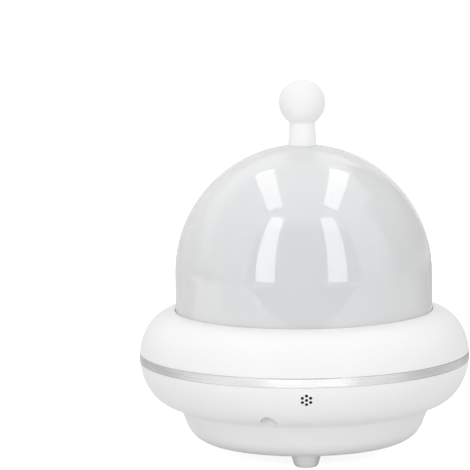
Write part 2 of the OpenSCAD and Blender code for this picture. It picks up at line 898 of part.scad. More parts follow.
module deck_plate() {
    color("whitesmoke")
        difference() {
            translate([0, 0, deck_seat_z])
                cylinder(r = deck_r, h = deck_t);
            translate([0, 0, deck_seat_z - past])
                cylinder(r = post_r + slip_gap, h = deck_t + 2 * past);
            at_drive(shaft_x, 0)
                translate([0, 0, deck_seat_z - past])
                    cylinder(r = shaft_r + shaft_clear, h = deck_t + 2 * past);
            around(screw_count, deck_screw_circle, deck_screw_first) {
                translate([0, 0, deck_seat_z - past])
                    cylinder(r = small_screw_r + screw_gap, h = deck_t + 2 * past);
                translate([0, 0, deck_z - small_head_t])
                    cylinder(r = small_head_r + screw_gap, h = small_head_t + past);
            }
            around(screw_count, post_screw_circle, post_screw_first)
                translate([0, 0, deck_seat_z - past])
                    cylinder(r = small_screw_r + thread_gap, h = deck_t - post_screw_skin + past);
            for (y = [-ear_x, ear_x])
                at_drive(motor_x, y)
                    translate([0, 0, deck_seat_z - past])
                        cylinder(r = small_screw_r + screw_gap, h = deck_t + 2 * past);
        }
}

module deck_screws() {
    color(steel)
        around(screw_count, deck_screw_circle, deck_screw_first)
            translate([0, 0, deck_z - small_head_t])
                mirror([0, 0, 1])
                    screw(small_screw_r, deck_screw_len, small_head_r, small_head_t);
}

module turntable() {
    color("ivory")
        difference() {
            union() {
                // Toothed rim, thin web and spigot, dished between the rim and the hub
                difference() {
                    union() {
                        translate([0, 0, gear_z])
                            linear_extrude(gear_face)
                                rotate(drive_angle)
                                    polygon(gear_outline(gear_teeth));
                        translate([0, 0, gear_top_z - eps])
                            cylinder(r = spigot_r, h = spigot_h);
                        for (a = key_angles)
                            rotate(a)
                                translate([spigot_r - eps, -key_w / 2, gear_top_z - eps])
                                    cube([gear_pitch_r - gear_root - spigot_r - seat_gap, key_w, key_t]);
                    }
                    translate([0, 0, gear_z + web_t])
                        cylinder(r = spigot_r - rim_t, h = gear_face + spigot_h);
                }
                translate([0, 0, hub_z])
                    cylinder(r = hub_r, h = hub_h);
                // Spokes that stiffen the web
                for (a = [0 : 60 : 300])
                    rotate(a)
                        translate([hub_r - 1, -spoke_t / 2, gear_z])
                            cube([spigot_r - rim_t / 2 - hub_r + 1, spoke_t, spoke_h]);
            }
            translate([0, 0, hub_z - past])
                cylinder(r = post_r + run_gap, h = hub_h + 2 * past);
            // Lightening holes in the web
            around(6, (spigot_r + hub_r) / 2, 30)
                translate([0, 0, gear_z - past])
                    cylinder(r = web_hole_r, h = web_t + 2 * past);
        }
}

module thrust_washer() {
    color("dimgray")
        translate([0, 0, deck_z])
            tube(hub_r, post_r + slip_gap, washer_t);
}

module retaining_clip() {
    color(steel)
        translate([0, 0, clip_z])
            difference() {
                tube(post_r + clip_w, post_r - groove_depth + run_gap, clip_t);
                translate([0, -clip_mouth / 2, -past])
                    cube([post_r + clip_w + past, clip_mouth, clip_t + 2 * past]);
            }
}

module film_globe() {
    color("lightsteelblue", 0.7)
        difference() {
            union() {
                translate([0, 0, globe_z])
                    cylinder(r = globe_r, h = globe_side_h);
                translate([0, 0, globe_mid_z])
                    sphere(r = globe_r);
                translate([0, 0, globe_z])
                    cylinder(r = globe_r + globe_flange, h = flange_t);
            }
            translate([0, 0, globe_z - globe_r])
                cylinder(r = globe_r + past, h = globe_r);
            translate([0, 0, globe_z - past])
                cylinder(r = globe_inner_r, h = globe_side_h + past);
            translate([0, 0, globe_mid_z])
                sphere(r = globe_inner_r);
            for (a = key_angles)
                rotate(a)
                    translate([0, -key_w / 2 - seat_gap, globe_z - past])
                        cube([globe_r + globe_flange + past, key_w + 2 * seat_gap, past + key_t + slip_gap]);
        }
}

// Cutters through the mask's round top, in a row at one elevation
module mask_row(row) {
    around(row[0], 0, row[1])
        translate([0, 0, globe_mid_z])
            rotate([0, -row[2], 0])
                translate([globe_r - past, 0, 0])
                    rotate([0, 90, 0])
                        children();
}

// Cutters through its straight side, in a row at one depth below the round top
module side_row(row) {
    around(row[0], globe_r - past, row[1])
        translate([0, 0, globe_mid_z - row[2]])
            rotate([0, 90, 0])
                children();
}

// A star with one point up the mask
module star_cut(points, r, waist) {
    linear_extrude(mask_cut_h)
        polygon([for (i = [0 : 2 * points - 1]) polar(i % 2 == 0 ? r : r * waist, 180 + i * 180 / points)]);
}

module big_star() {
    star_cut(5, star_r, star_waist);
}

module sparkle() {
    star_cut(4, sparkle_r, sparkle_waist);
}

module dot() {
    cylinder(r = dot_r, h = mask_cut_h);
}

module star_mask() {
    color("steelblue")
        difference() {
            union() {
                translate([0, 0, globe_z + flange_t])
                    cylinder(r = mask_r, h = globe_side_h - flange_t);
                translate([0, 0, globe_mid_z])
                    sphere(r = mask_r);
            }
            translate([0, 0, globe_z + flange_t - mask_r])
                cylinder(r = mask_r + past, h = mask_r);
            translate([0, 0, globe_z])
                cylinder(r = mask_inner_r, h = globe_side_h);
            translate([0, 0, globe_mid_z])
                sphere(r = mask_inner_r);
            mask_row(crown_dots)
                dot();
            mask_row(upper_stars)
                big_star();
            mask_row(upper_sparkles)
                sparkle();
            mask_row(middle_stars)
                big_star();
            mask_row(middle_dots)
                dot();
            mask_row(lower_stars)
                big_star();
            side_row(side_sparkles)
                sparkle();
            side_row(side_dots)
                dot();
            side_row(edge_sparkles)
                sparkle();
        }
}

// ---------- Lamp ----------

module lamp_post() {
    color(pale_grey)
        difference() {
            union() {
                translate([0, 0, deck_seat_z - post_flange_t])
                    cylinder(r = post_r, h = post_top_z - deck_seat_z + post_flange_t);
                translate([0, 0, deck_seat_z - post_flange_t])
                    cylinder(r = post_flange_r, h = post_flange_t);
            }
            translate([0, 0, deck_seat_z - post_flange_t - past])
                cylinder(r = post_bore_r, h = post_top_z - deck_seat_z + post_flange_t + 2 * past);
            translate([0, 0, clip_z - slip_gap / 2])
                tube(post_r + past, post_r - groove_depth, clip_t + slip_gap);
            around(screw_count, post_screw_circle, post_screw_first)
                translate([0, 0, deck_seat_z - post_flange_t - past])
                    cylinder(r = small_screw_r + screw_gap, h = post_flange_t + 2 * past);
        }
}

module post_screws() {
    color(steel)
        around(screw_count, post_screw_circle, post_screw_first)
            translate([0, 0, deck_seat_z - post_flange_t])
                screw(small_screw_r, post_flange_t + deck_t - post_screw_skin - slip_gap,
                    small_head_r, small_head_t);
}

module lamp_heat_sink() {
    color(steel)
        translate([0, 0, post_top_z]) {
            difference() {
                union() {
                    cylinder(r = post_r + 1, h = sink_t);
                    around(fin_count, post_r, 180 / fin_count)
                        translate([0, -fin_t / 2, fin_t / 2])
                            cube([lamp_board_r - post_r - fin_t / 2, fin_t, sink_t - fin_t / 2]);
                }
                translate([0, 0, -past])
                    cylinder(r = lead_hole_r, h = sink_t + 2 * past);
            }
        }
}

module lamp_board() {
    color(white)
        translate([0, 0, lamp_z])
            difference() {
                cylinder(r = lamp_board_r, h = board_t);
                for (x = [-lamp_board_r, lamp_board_r])
                    translate([x, 0, -past])
                        cylinder(r = board_notch_r, h = board_t + 2 * past);
            }
}

module lamp_leds() {
    color("khaki")
        for (x = [-led_pitch / 2, led_pitch / 2], y = [-led_pitch / 2, led_pitch / 2])
            translate([x, y, lamp_z + board_t + led_t / 2])
                cube([led_w, led_w, led_t], center = true);
}

module lamp_lens() {
    base = lamp_z + board_t;
    color("aliceblue", 0.5)
        difference() {
            union() {
                translate([0, 0, base])
                    cylinder(r = lens_r, h = lens_side_h);
                translate([0, 0, base + lens_side_h])
                    sphere(r = lens_r);
                translate([0, 0, base])
                    cylinder(r = lens_r + lens_rim, h = lens_rim);
            }
            translate([0, 0, base - lens_r])
                cylinder(r = lens_r + lens_rim + past, h = lens_r);
            translate([0, 0, base - past])
                cylinder(r = lens_r - lens_wall, h = lens_side_h + past);
            translate([0, 0, base + lens_side_h])
                sphere(r = lens_r - lens_wall);
        }
}

// ---------- Drive ----------

// A point in the plan frame of the drive, whose X axis runs from the post to the motor
module at_drive(x, y) {
    rotate(drive_angle)
        translate([x, y, 0])
            children();
}

module gear_motor() {
    color(steel)
        at_drive(motor_x, 0)
            difference() {
                union() {
                    translate([0, 0, motor_z])
                        cylinder(r = motor_r, h = motor_h);
                    // Mounting ears
                    translate([-ear_r, -ear_x, deck_seat_z - ear_t])
                        cube([2 * ear_r, 2 * ear_x, ear_t]);
                    for (y = [-ear_x, ear_x])
                        translate([0, y, deck_seat_z - ear_t])
                            cylinder(r = ear_r, h = ear_t);
                    // Lead outlet
                    translate([-motor_r - outlet[0], -outlet[1] / 2, motor_z + outlet[0]])
                        cube([outlet[0] + motor_r / 2, outlet[1], outlet[2]]);
                }
                for (y = [-ear_x, ear_x])
                    translate([0, y, deck_seat_z - ear_t - past])
                        cylinder(r = small_screw_r + thread_gap, h = ear_t + 2 * past);
                translate([shaft_offset, 0, deck_seat_z - motor_shaft_depth - past])
                    cylinder(r = shaft_r + run_gap, h = motor_shaft_depth + 2 * past);
            }
}

module motor_screws() {
    color(steel)
        for (y = [-ear_x, ear_x])
            at_drive(motor_x, y)
                translate([0, 0, deck_z])
                    mirror([0, 0, 1])
                        screw(small_screw_r, motor_screw_len, small_head_r, small_head_t);
}

module motor_shaft() {
    color(steel)
        at_drive(shaft_x, 0)
            translate([0, 0, deck_seat_z - motor_shaft_depth])
                cylinder(r = shaft_r, h = gear_top_z + shaft_proud - deck_seat_z + motor_shaft_depth);
}

module motor_pinion() {
    color("goldenrod")
        at_drive(shaft_x, 0)
            translate([0, 0, gear_z])
                difference() {
                    union() {
                        rotate(180 + 180 / pinion_teeth)
                            linear_extrude(gear_face)
                                polygon(gear_outline(pinion_teeth));
                        translate([0, 0, -pinion_collar_t])
                            cylinder(r = shaft_r + hub_wall / 2, h = pinion_collar_t + eps);
                    }
                    translate([0, 0, -pinion_collar_t - past])
                        cylinder(r = shaft_r + thread_gap, h = gear_face + pinion_collar_t + 2 * past);
                }
}

// ---------- Light ring's LEDs ----------

module ring_led_strip() {
    color("wheat")
        translate([0, 0, shelf_z])
            tube(strip_r, strip_r - strip_t, strip_h);
}

module ring_leds() {
    color("lightyellow")
        around(ring_led_count, strip_r, 180 / ring_led_count)
            translate([led_lift, -led_size[1] / 2, shelf_z + (strip_h - led_size[2]) / 2])
                cube(led_size);
}

// ---------- Electronics in the cup ----------

module main_board() {
    color(board_green)
        translate([0, 0, board_z])
            difference() {
                cylinder(r = board_r, h = board_t);
                for (a = post_angles)
                    rotate(a)
                        translate([board_post_circle, 0, -past])
                            cylinder(r = small_screw_r + screw_gap, h = board_t + 2 * past);
                // Pass for the battery's leads
                translate([0, -lead_pass_y, -past])
                    cylinder(r = lead_pass_r, h = board_t + 2 * past);
            }
}

module board_screws() {
    color(steel)
        for (a = post_angles)
            rotate(a)
                translate([board_post_circle, 0, board_z + board_t])
                    mirror([0, 0, 1])
                        screw(small_screw_r, board_screw_len, small_head_r, small_head_t);
}

module board_parts() {
    top = board_z + board_t;
    // Controller and driver chips
    color("black")
        translate([0, 0, top]) {
            translate([-chip_x, -chip_w / 2, 0])
                cube([chip_w, chip_w, chip_t]);
            for (x = [chip_x / 2, chip_x])
                translate([x, -driver_chip[1], 0])
                    cube(driver_chip);
        }
    // Lead headers for the lamp, motor, ring, microphone and battery
    color("ivory")
        for (i = [-2 : 2])
            translate([i * header_pitch - header[0] / 2, -header_y, top])
                difference() {
                    cube(header);
                    translate([header_wall, header_wall, header_wall])
                        cube([header[0] - 2 * header_wall, header[1] - 2 * header_wall, header[2]]);
                }
    // Capacitors and the inductor
    color("dimgray")
        translate([0, capacitor_y, top]) {
            for (x = [-2, -1])
                translate([x * 3 * capacitor_r, 0, 0])
                    cylinder(r = capacitor_r, h = capacitor_h);
            translate([3 * capacitor_r, 0, 0])
                rounded_plate(inductor_w, inductor_w, inductor_w / 2, inductor_w / 5);
        }
}

module microphone() {
    color("dimgray")
        mic_frame()
            translate([0, 0, -mic_wall - mic_screen_t - mic_h])
                cylinder(r = mic_r, h = mic_h);
}

// Dust screen between the sound holes and the microphone
module mic_screen() {
    color("black")
        mic_frame()
            translate([0, 0, -mic_wall - mic_screen_t])
                cylinder(r = mic_r, h = mic_screen_t);
}

module battery_pack() {
    color("royalblue")
        translate([0, 0, battery_z])
            rounded_plate(battery_w, battery_d, battery_t, battery_edge_r);
}

module battery_tape() {
    color("gray")
        translate([0, 0, floor_z])
            rounded_plate(battery_w - 2 * tape_inset, battery_d - 2 * tape_inset, tape_t, tape_t);
}

module charge_board() {
    color(board_green)
        translate([0, charge_board_back - charge_board_d / 2, charge_board_z])
            rounded_plate(charge_board_w, charge_board_d, board_t, board_corner_r);
}

// Round-ended outline of the charging socket
module socket_shape(grow, h) {
    rounded_plate(socket_w + 2 * grow, socket_t + 2 * grow, h, socket_t / 2 + grow - eps);
}

module usb_socket() {
    color(steel)
        at_back(0, socket_y - socket_len, socket_z)
            difference() {
                socket_shape(0, socket_len);
                translate([0, 0, socket_back_t])
                    socket_shape(-socket_wall, socket_len);
            }
    color("black")
        translate([-tongue[0] / 2, socket_y - socket_len + socket_back_t - eps, socket_z - tongue[2] / 2])
            cube(tongue);
}

module power_switch() {
    color(steel)
        rotate(slider_angle)
            translate([switch_front - switch_body[0] / 2, 0, slider_z])
                cube(switch_body, center = true);
}

module power_slider() {
    color("dimgray")
        rotate(slider_angle)
            translate([0, -slider_travel / 2, slider_z]) {
                translate([slider_back - eps, -slider_w / 2, -slider_t / 2])
                    cube([slider_r + slider_proud - slider_back + eps, slider_w, slider_t]);
                translate([slider_back - slider_base[0], -slider_base[1] / 2, -slider_base[2] / 2])
                    cube(slider_base);
            }
}

// ---------- Push buttons ----------

module button_board() {
    color(board_green)
        translate([0, button_board_y, button_z])
            difference() {
                rotate([-90, 0, 0])
                    rounded_plate(button_board_w, button_board_h, board_t, board_corner_r);
                for (x = [-button_post_x, button_post_x])
                    at_back(x, -past, 0)
                        cylinder(r = small_screw_r + screw_gap, h = board_t + 2 * past);
            }
}

module button_board_screws() {
    color(steel)
        for (x = [-button_post_x, button_post_x])
            at_back(x, button_board_y, button_z)
                screw(small_screw_r, button_screw_len, small_head_r, small_head_t);
}

module button_switches() {
    for (x = [-button_x, button_x])
        translate([x, button_board_y + board_t, button_z]) {
            color("black")
                translate([-switch_w / 2, 0, -switch_w / 2])
                    cube([switch_w, switch_t, switch_w]);
            color(pale_grey)
                rotate([-90, 0, 0])
                    cylinder(r = plunger_r, h = switch_t + plunger_t);
        }
}

// A push button along +Y, with its middle on the given side
module push_button(x) {
    tip_y = button_skin_y + button_proud;
    color(pale_grey)
        translate([x, 0, button_z])
            rotate([-90, 0, 0]) {
                intersection() {
                    translate([0, 0, button_back_y])
                        cylinder(r = button_r, h = tip_y - button_back_y);
                    translate([0, 0, tip_y - button_cap_r])
                        sphere(r = button_cap_r);
                }
                translate([0, 0, button_back_y])
                    cylinder(r = button_flange_r, h = button_flange_t);
                translate([0, 0, button_back_y - button_stem_h])
                    cylinder(r = button_stem_r, h = button_stem_h + eps);
            }
}

module left_button() {
    push_button(-button_x);
}

module right_button() {
    push_button(button_x);
}

// ---------- Microphone frame ----------

// Frame on the front skin of the lower housing, +Z out of the surface
module mic_frame() {
    skin = lower_side_c + lower_side_r * [cos(mic_tilt), -sin(mic_tilt)];
    translate([0, -skin[0], skin[1]])
        rotate([90 + mic_tilt, 0, 0])
            children();
}

module mic_holes() {
    translate([0, 0, -mic_wall - past])
        cylinder(r = mic_hole_r, h = mic_wall + 2 * past);
    around(6, mic_pitch, 90)
        translate([0, 0, -mic_wall - past])
            cylinder(r = mic_hole_r, h = mic_wall + 2 * past);
}

// ---------- Assembly ----------

ball_knob();
knob_washer();
knob_screw();
dome_cover();
upper_housing();
light_ring();
lower_housing();
housing_screws();
bottom_cover();
cover_screws();
front_foot();
left_foot();
right_foot();
deck_plate();
deck_screws();
turntable();
thrust_washer();
retaining_clip();
film_globe();
star_mask();
lamp_post();
post_screws();
lamp_heat_sink();
lamp_board();
lamp_leds();
lamp_lens();
gear_motor();
motor_screws();
motor_shaft();
motor_pinion();
ring_led_strip();
ring_leds();
main_board();
board_screws();
board_parts();
microphone();
mic_screen();
battery_pack();
battery_tape();
charge_board();
usb_socket();
power_switch();
power_slider();
button_board();
button_board_screws();
button_switches();
left_button();
right_button();
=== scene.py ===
"""Looks of the star night light projector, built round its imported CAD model. Units are metres."""

import json
import math

import bmesh
import bpy
from mathutils import Matrix, Quaternion, Vector


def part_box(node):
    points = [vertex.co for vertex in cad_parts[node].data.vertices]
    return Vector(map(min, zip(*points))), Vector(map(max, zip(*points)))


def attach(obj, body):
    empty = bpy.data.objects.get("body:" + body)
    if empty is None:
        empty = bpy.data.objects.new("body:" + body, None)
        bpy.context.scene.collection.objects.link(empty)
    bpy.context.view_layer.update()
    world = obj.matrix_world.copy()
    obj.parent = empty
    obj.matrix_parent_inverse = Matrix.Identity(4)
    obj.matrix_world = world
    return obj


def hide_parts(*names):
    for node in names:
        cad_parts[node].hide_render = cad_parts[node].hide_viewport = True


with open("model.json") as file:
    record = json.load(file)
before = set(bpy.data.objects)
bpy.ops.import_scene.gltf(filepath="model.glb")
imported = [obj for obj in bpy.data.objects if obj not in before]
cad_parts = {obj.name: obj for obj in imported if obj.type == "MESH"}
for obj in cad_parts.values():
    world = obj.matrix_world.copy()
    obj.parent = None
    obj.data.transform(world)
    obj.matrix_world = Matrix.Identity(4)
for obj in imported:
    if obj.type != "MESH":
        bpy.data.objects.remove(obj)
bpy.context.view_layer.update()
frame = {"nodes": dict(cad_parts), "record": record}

MM = 0.001
FRAME_SIZE = 470


# ---------- Sizes: places come from the frame's boxes, forms from the same sizes as the CAD ----------

def low(node):
    """The corner of a node's box where X, Y and Z are least."""
    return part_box(node)[0]


def high(node):
    """The corner of a node's box where X, Y and Z are greatest."""
    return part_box(node)[1]


WALL = 2.4 * MM

# Light ring
RING_R = high("light_ring")[1]
RING_H = 4 * MM
RING_RIB_H = high("light_ring")[2] - low("light_ring")[2]
RING_Z = (high("light_ring")[2] + low("light_ring")[2]) / 2
RING_RIB_R = RING_R - WALL - 0.5 * MM
RING_INNER_R = RING_RIB_R - 0.7 * MM

# Fillets, from the finest edge to the roundest
FINE_EDGE = 0.1 * MM
SKIN_EDGE = 0.15 * MM
PLAIN_EDGE = 0.2 * MM
SOFT_EDGE = 0.3 * MM
ROUND_EDGE = 0.5 * MM

# Dome, and its seat in the upper housing
DECK_Z = high("deck_plate")[2]
DECK_SEAT_Z = low("deck_plate")[2]
DOME_R = high("dome_cover")[0]
DOME_WALL = 2 * MM
DOME_MID_Z = high("dome_cover")[2] - DOME_R
DOME_PAD_R = 8 * MM
DOME_PAD_T = 1.2 * MM
LIP_R = DOME_R + 0.14 * MM
LIP_ROUND = 0.6 * MM
SKIRT_R = DOME_R + 2.5 * MM
DECK_SEAT_R = DOME_R - DOME_WALL - 0.2 * MM
DECK_HOLE_R = DECK_SEAT_R - 4.7 * MM
LEDGE_Z = DECK_SEAT_Z - 2 * MM

# Knob
BALL_R = 10.25 * MM
BALL_Z = high("ball_knob")[2] - BALL_R
STEM_TOP_R = 5.65 * MM
STEM_BASE_R = 6.35 * MM

# Lower housing
BASE_Z = low("lower_housing")[2]
FLOOR_Z = BASE_Z + WALL
CUP_R = 55.5 * MM
CUP_DRAFT = math.radians(21.8)
CUP_EDGE_R = 11 * MM
CREASE_R = 2.5 * MM
CREASE_Z = BASE_Z + 15.9 * MM
SHELF_Z = RING_Z - RING_RIB_H / 2 - 0.2 * MM
SHELF_T = 1.8 * MM
SHELF_R = RING_INNER_R - 2 * MM
HATCH_R = high("bottom_cover")[0] + 0.25 * MM
HATCH_SCREW_R = 3.1 * MM
HATCH_SCREW_CIRCLE_R = HATCH_R - HATCH_SCREW_R

# Screw wells and feet
WELL_R = 3.6 * MM
WELL_SEAT_Z = RING_Z - RING_RIB_H / 2 - 1 * MM
BOSS_R = 2.8 * MM
WELL_CIRCLE_R = SHELF_R - 0.5 * MM - BOSS_R
WELL_ANGLE = math.radians(-104.5)
FOOT_CIRCLE_R = -(low("front_foot")[1] + high("front_foot")[1]) / 2

# Buttons, microphone, boards and switch
BUTTON_X = (low("right_button")[0] + high("right_button")[0]) / 2
BUTTON_Z = (low("right_button")[2] + high("right_button")[2]) / 2
BUTTON_R = 4.2 * MM
MIC_TILT = math.radians(16.5)
SLIDER_ANGLE = math.radians(62)
BUTTON_FACE_Y = RING_R - 9.2 * MM
BUTTON_POST_X = BUTTON_X + 8.4 * MM
MIC_HOLE_R = 0.69 * MM
MIC_PITCH = 2 * MM
MIC_HOLE_TURNS = [math.radians(90 + 60 * i) for i in range(6)]
MIC_WALL = 1 * MM
MIC_HOLDER_H = 1.8 * MM
MIC_POCKET_R = 3.1 * MM
BOARD_POST_ANGLES = (-30, 60, 120, 210)
BOARD_POST_CIRCLE = high("main_board")[0] - 5 * MM
PEG_X = 7 * MM
SOCKET_Z = (low("usb_socket")[2] + high("usb_socket")[2]) / 2

# How far a cutter reaches past the surface that it cuts
REACH = 1 * MM

# Radii of the housings' bulges, and their curve centres as (radius, height)
UPPER_SIDE_R = 25 * MM
UPPER_TOP_R = 17 * MM
UPPER_H = high("upper_housing")[2] - RING_Z
LOWER_SIDE_R = 26 * MM
LOWER_EDGE_R = 16 * MM
LOWER_H = RING_Z - CREASE_Z
UPPER_SIDE_C = Vector((RING_R - UPPER_SIDE_R, RING_Z))
UPPER_TOP_C = UPPER_SIDE_C + Vector((
    math.sqrt((UPPER_SIDE_R - UPPER_TOP_R) ** 2 - (UPPER_H - UPPER_TOP_R) ** 2), UPPER_H - UPPER_TOP_R))
LOWER_SIDE_C = Vector((RING_R - LOWER_SIDE_R, RING_Z))
LOWER_EDGE_C = LOWER_SIDE_C + Vector((
    math.sqrt((LOWER_SIDE_R - LOWER_EDGE_R) ** 2 - (LOWER_H - LOWER_EDGE_R) ** 2),
    LOWER_EDGE_R - LOWER_H))
CUP_EDGE_C = Vector((
    CUP_R + ((BASE_Z + CUP_EDGE_R - CREASE_Z) * math.sin(CUP_DRAFT) - CUP_EDGE_R) / math.cos(CUP_DRAFT),
    BASE_Z + CUP_EDGE_R))


def cup_wall_r(z):
    """Outer radius of the cup's tapered wall at a height."""
    return CUP_R + (z - CREASE_Z) * math.tan(CUP_DRAFT)


# Front of the power switch's body, measured along the slider's direction
SLIDER_FRONT = cup_wall_r(SOCKET_Z) - WALL / math.cos(CUP_DRAFT) - 3.1 * MM


# ---------- Mesh helpers ----------

def smooth(obj, angle=32):
    """Smooth shading that keeps edges above the angle, in degrees, sharp."""
    for face in obj.data.polygons:
        face.use_smooth = True
    obj.data.set_sharp_from_angle(angle=math.radians(angle))


def add_object(name, bm):
    """A new smooth object from a bmesh, with its sharp edges marked."""
    bmesh.ops.recalc_face_normals(bm, faces=bm.faces)
    mesh = bpy.data.meshes.new(name)
    bm.to_mesh(mesh)
    bm.free()
    obj = bpy.data.objects.new(name, mesh)
    bpy.context.scene.collection.objects.link(obj)
    smooth(obj)
    return obj


def thirds(start):
    """Three directions in radians, evenly spaced round the axis."""
    return [start + i * math.tau / 3 for i in range(3)]


def arc(centre, radius, start, end, steps):
    """Outline points (radius, height, fillet) along an arc, its angles in radians."""
    angles = [start + (end - start) * i / steps for i in range(steps + 1)]
    return [(centre[0] + radius * math.cos(a), centre[1] + radius * math.sin(a), 0) for a in angles]


def filleted(corners, steps=4):
    """Outline points (radius, height) from corners (radius, height, fillet)."""
    longest, guard = 0.45, 0.04
    points = []
    for i, (r, z, fillet) in enumerate(corners):
        here = Vector((r, z))
        if not fillet:
            points.append(here)
            continue
        before = Vector(corners[i - 1][:2]) - here
        after = Vector(corners[(i + 1) % len(corners)][:2]) - here
        start = here + before.normalized() * min(fillet, before.length * longest)
        end = here + after.normalized() * min(fillet, after.length * longest)
        # A point just outside each end of the fillet keeps the shading of the straight flat
        points.append(start + before * guard)
        for k in range(steps + 1):
            t = k / steps
            points.append(start * (1 - t) ** 2 + here * 2 * t * (1 - t) + end * t ** 2)
        points.append(end + after * guard)
    return points


def lathe(name, corners, turns=256):
    """A body of revolution about Z. An outline that touches the axis is open there."""
    on_axis = 1e-7
    bm = bmesh.new()
    angles = [2 * math.pi * i / turns for i in range(turns)]
    rings = []
    for r, z in filleted(corners):
        if r < on_axis:
            rings.append([bm.verts.new((0, 0, z))])
        else:
            rings.append([bm.verts.new((r * math.cos(a), r * math.sin(a), z)) for a in angles])
    for ring, following in zip(rings, rings[1:] + rings[:1]):
        if len(ring) == 1 and len(following) == 1:
            continue
        for i in range(turns):
            j = (i + 1) % turns
            around = [ring[i % len(ring)], following[i % len(following)],
                      following[j % len(following)], ring[j % len(ring)]]
            bm.faces.new(list(dict.fromkeys(around)))
    return add_object(name, bm)


def turned(x_angle, z_angle, place):
    """Matrix that tips the Z axis by x_angle about X, turns it by z_angle about Z, and moves it."""
    return (Matrix.Rotation(z_angle, 4, "Z") @ Matrix.Translation(place)
            @ Matrix.Rotation(x_angle, 4, "X"))


def drum(radius, height, matrix, steps=64):
    """A cylinder that stands on the matrix's origin along its Z axis."""
    bm = bmesh.new()
    bmesh.ops.create_cone(bm, cap_ends=True, segments=steps, radius1=radius, radius2=radius,
                          depth=height, matrix=matrix @ Matrix.Translation((0, 0, height / 2)))
    return add_object("drum", bm)


def block(size, matrix, bevel=0.0):
    """A box centred on the matrix's origin."""
    bm = bmesh.new()
    bmesh.ops.create_cube(bm, size=1, matrix=matrix @ Matrix.Diagonal((*size, 1)))
    if bevel:
        bmesh.ops.bevel(bm, geom=bm.edges[:], offset=bevel, segments=3, profile=0.5, affect="EDGES")
    return add_object("block", bm)


def combine(obj, other, operation):
    """obj becomes its union, difference or intersection with other, which is used up."""
    cut = obj.modifiers.new("cut", "BOOLEAN")
    cut.operation = operation
    cut.solver = "MANIFOLD"
    cut.object = other
    bpy.context.view_layer.update()
    evaluated = obj.evaluated_get(bpy.context.evaluated_depsgraph_get())
    mesh = bpy.data.meshes.new_from_object(evaluated)
    obj.modifiers.remove(cut)
    obj.data = mesh
    bpy.data.objects.remove(other)
    return obj


def union(parts):
    """The first part, joined with all the others."""
    whole = parts[0]
    for part in parts[1:]:
        combine(whole, part, "UNION")
    return whole


def dress(obj, material, body, node):
    """Paints a new piece, seats it on its body and lets it stand in for its CAD node."""
    obj.data.materials.clear()
    obj.data.materials.append(material)
    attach(obj, body)
    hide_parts(node)
    return obj


# ---------- Materials ----------

def linked(tree, kind, inputs=None, **settings):
    """A shader node with its settings and inputs. An input given as a socket becomes a link."""
    node = tree.nodes.new(kind)
    for key, value in settings.items():
        setattr(node, key, value)
    for key, value in (inputs or {}).items():
        if isinstance(value, bpy.types.NodeSocket):
            tree.links.new(value, node.inputs[key])
        else:
            node.inputs[key].default_value = value
    return node


def maths(tree, operation, *values):
    """The result of one operation on numbers and sockets."""
    return linked(tree, "ShaderNodeMath", dict(enumerate(values)), operation=operation).outputs["Value"]


def ramp(tree, value, start, end, span=(0, 1), shape="LINEAR"):
    """Goes from start to end while the value crosses the span, and stays level outside it."""
    inputs = {"Value": value, "From Min": span[0], "From Max": span[1], "To Min": start, "To Max": end}
    return linked(tree, "ShaderNodeMapRange", inputs, interpolation_type=shape).outputs["Result"]


def blend(tree, factor, first, second):
    """A colour between two others."""
    inputs = {"Factor": factor, "A": first, "B": second}
    return linked(tree, "ShaderNodeMix", inputs, data_type="RGBA").outputs["Result"]


def object_place(tree):
    """The shaded point in the object's own metres."""
    return linked(tree, "ShaderNodeTexCoord").outputs["Object"]


def axis_of(tree, vector, axis):
    """A vector's X, Y or Z."""
    return linked(tree, "ShaderNodeSeparateXYZ", {"Vector": vector}).outputs[axis]


def noise(tree, scale, detail=3, stretch=(1, 1, 1)):
    """Noise in the object's own metres, with features of about 1 / scale."""
    stretched = linked(tree, "ShaderNodeMapping", {"Vector": object_place(tree), "Scale": stretch})
    inputs = {"Vector": stretched.outputs["Vector"], "Scale": scale, "Detail": detail}
    return linked(tree, "ShaderNodeTexNoise", inputs).outputs["Fac"]


def spread(tree, value, low_end, high_end):
    """Maps a noise's usual range to low_end to high_end."""
    return ramp(tree, value, low_end, high_end, span=(0.3, 0.7))


def shade(colour, factor):
    """A colour made lighter or darker, with its alpha."""
    return tuple(min(1, c * factor) for c in colour[:3]) + (1,)


def finish_of(name, colour, roughness, *, mottle=0.02, mottle_scale=60, mottle_stretch=(1, 1, 1),
              roughness_spread=0.04, grain_scale=900, grain=0.05, grain_depth=0.05 * MM,
              grain_stretch=(1, 1, 1), **sockets):
    """A material with slight colour and gloss variation and a fine surface grain."""
    material = bpy.data.materials.new(name)
    material.use_nodes = True
    tree = material.node_tree
    shader = tree.nodes["Principled BSDF"]
    for key, value in sockets.items():
        shader.inputs[key.replace("_", " ")].default_value = value
    patches = noise(tree, mottle_scale, stretch=mottle_stretch)
    mottled = blend(tree, patches, shade(colour, 1 - mottle), shade(colour, 1 + mottle))
    tree.links.new(mottled, shader.inputs["Base Color"])
    gloss_scale = mottle_scale * 2.3
    gloss = spread(tree, noise(tree, gloss_scale), roughness - roughness_spread,
                   roughness + roughness_spread)
    tree.links.new(gloss, shader.inputs["Roughness"])
    relief = noise(tree, grain_scale, detail=2, stretch=grain_stretch)
    bump = linked(tree, "ShaderNodeBump", {"Strength": grain, "Distance": grain_depth, "Height": relief})
    tree.links.new(bump.outputs["Normal"], shader.inputs["Normal"])
    return material


def recolour(material, factor, colour):
    """Blends a material's own colour towards another by a factor from its node tree."""
    tree = material.node_tree
    socket = tree.nodes["Principled BSDF"].inputs["Base Color"]
    tree.links.new(blend(tree, factor, socket.links[0].from_socket, (*colour, 1)), socket)


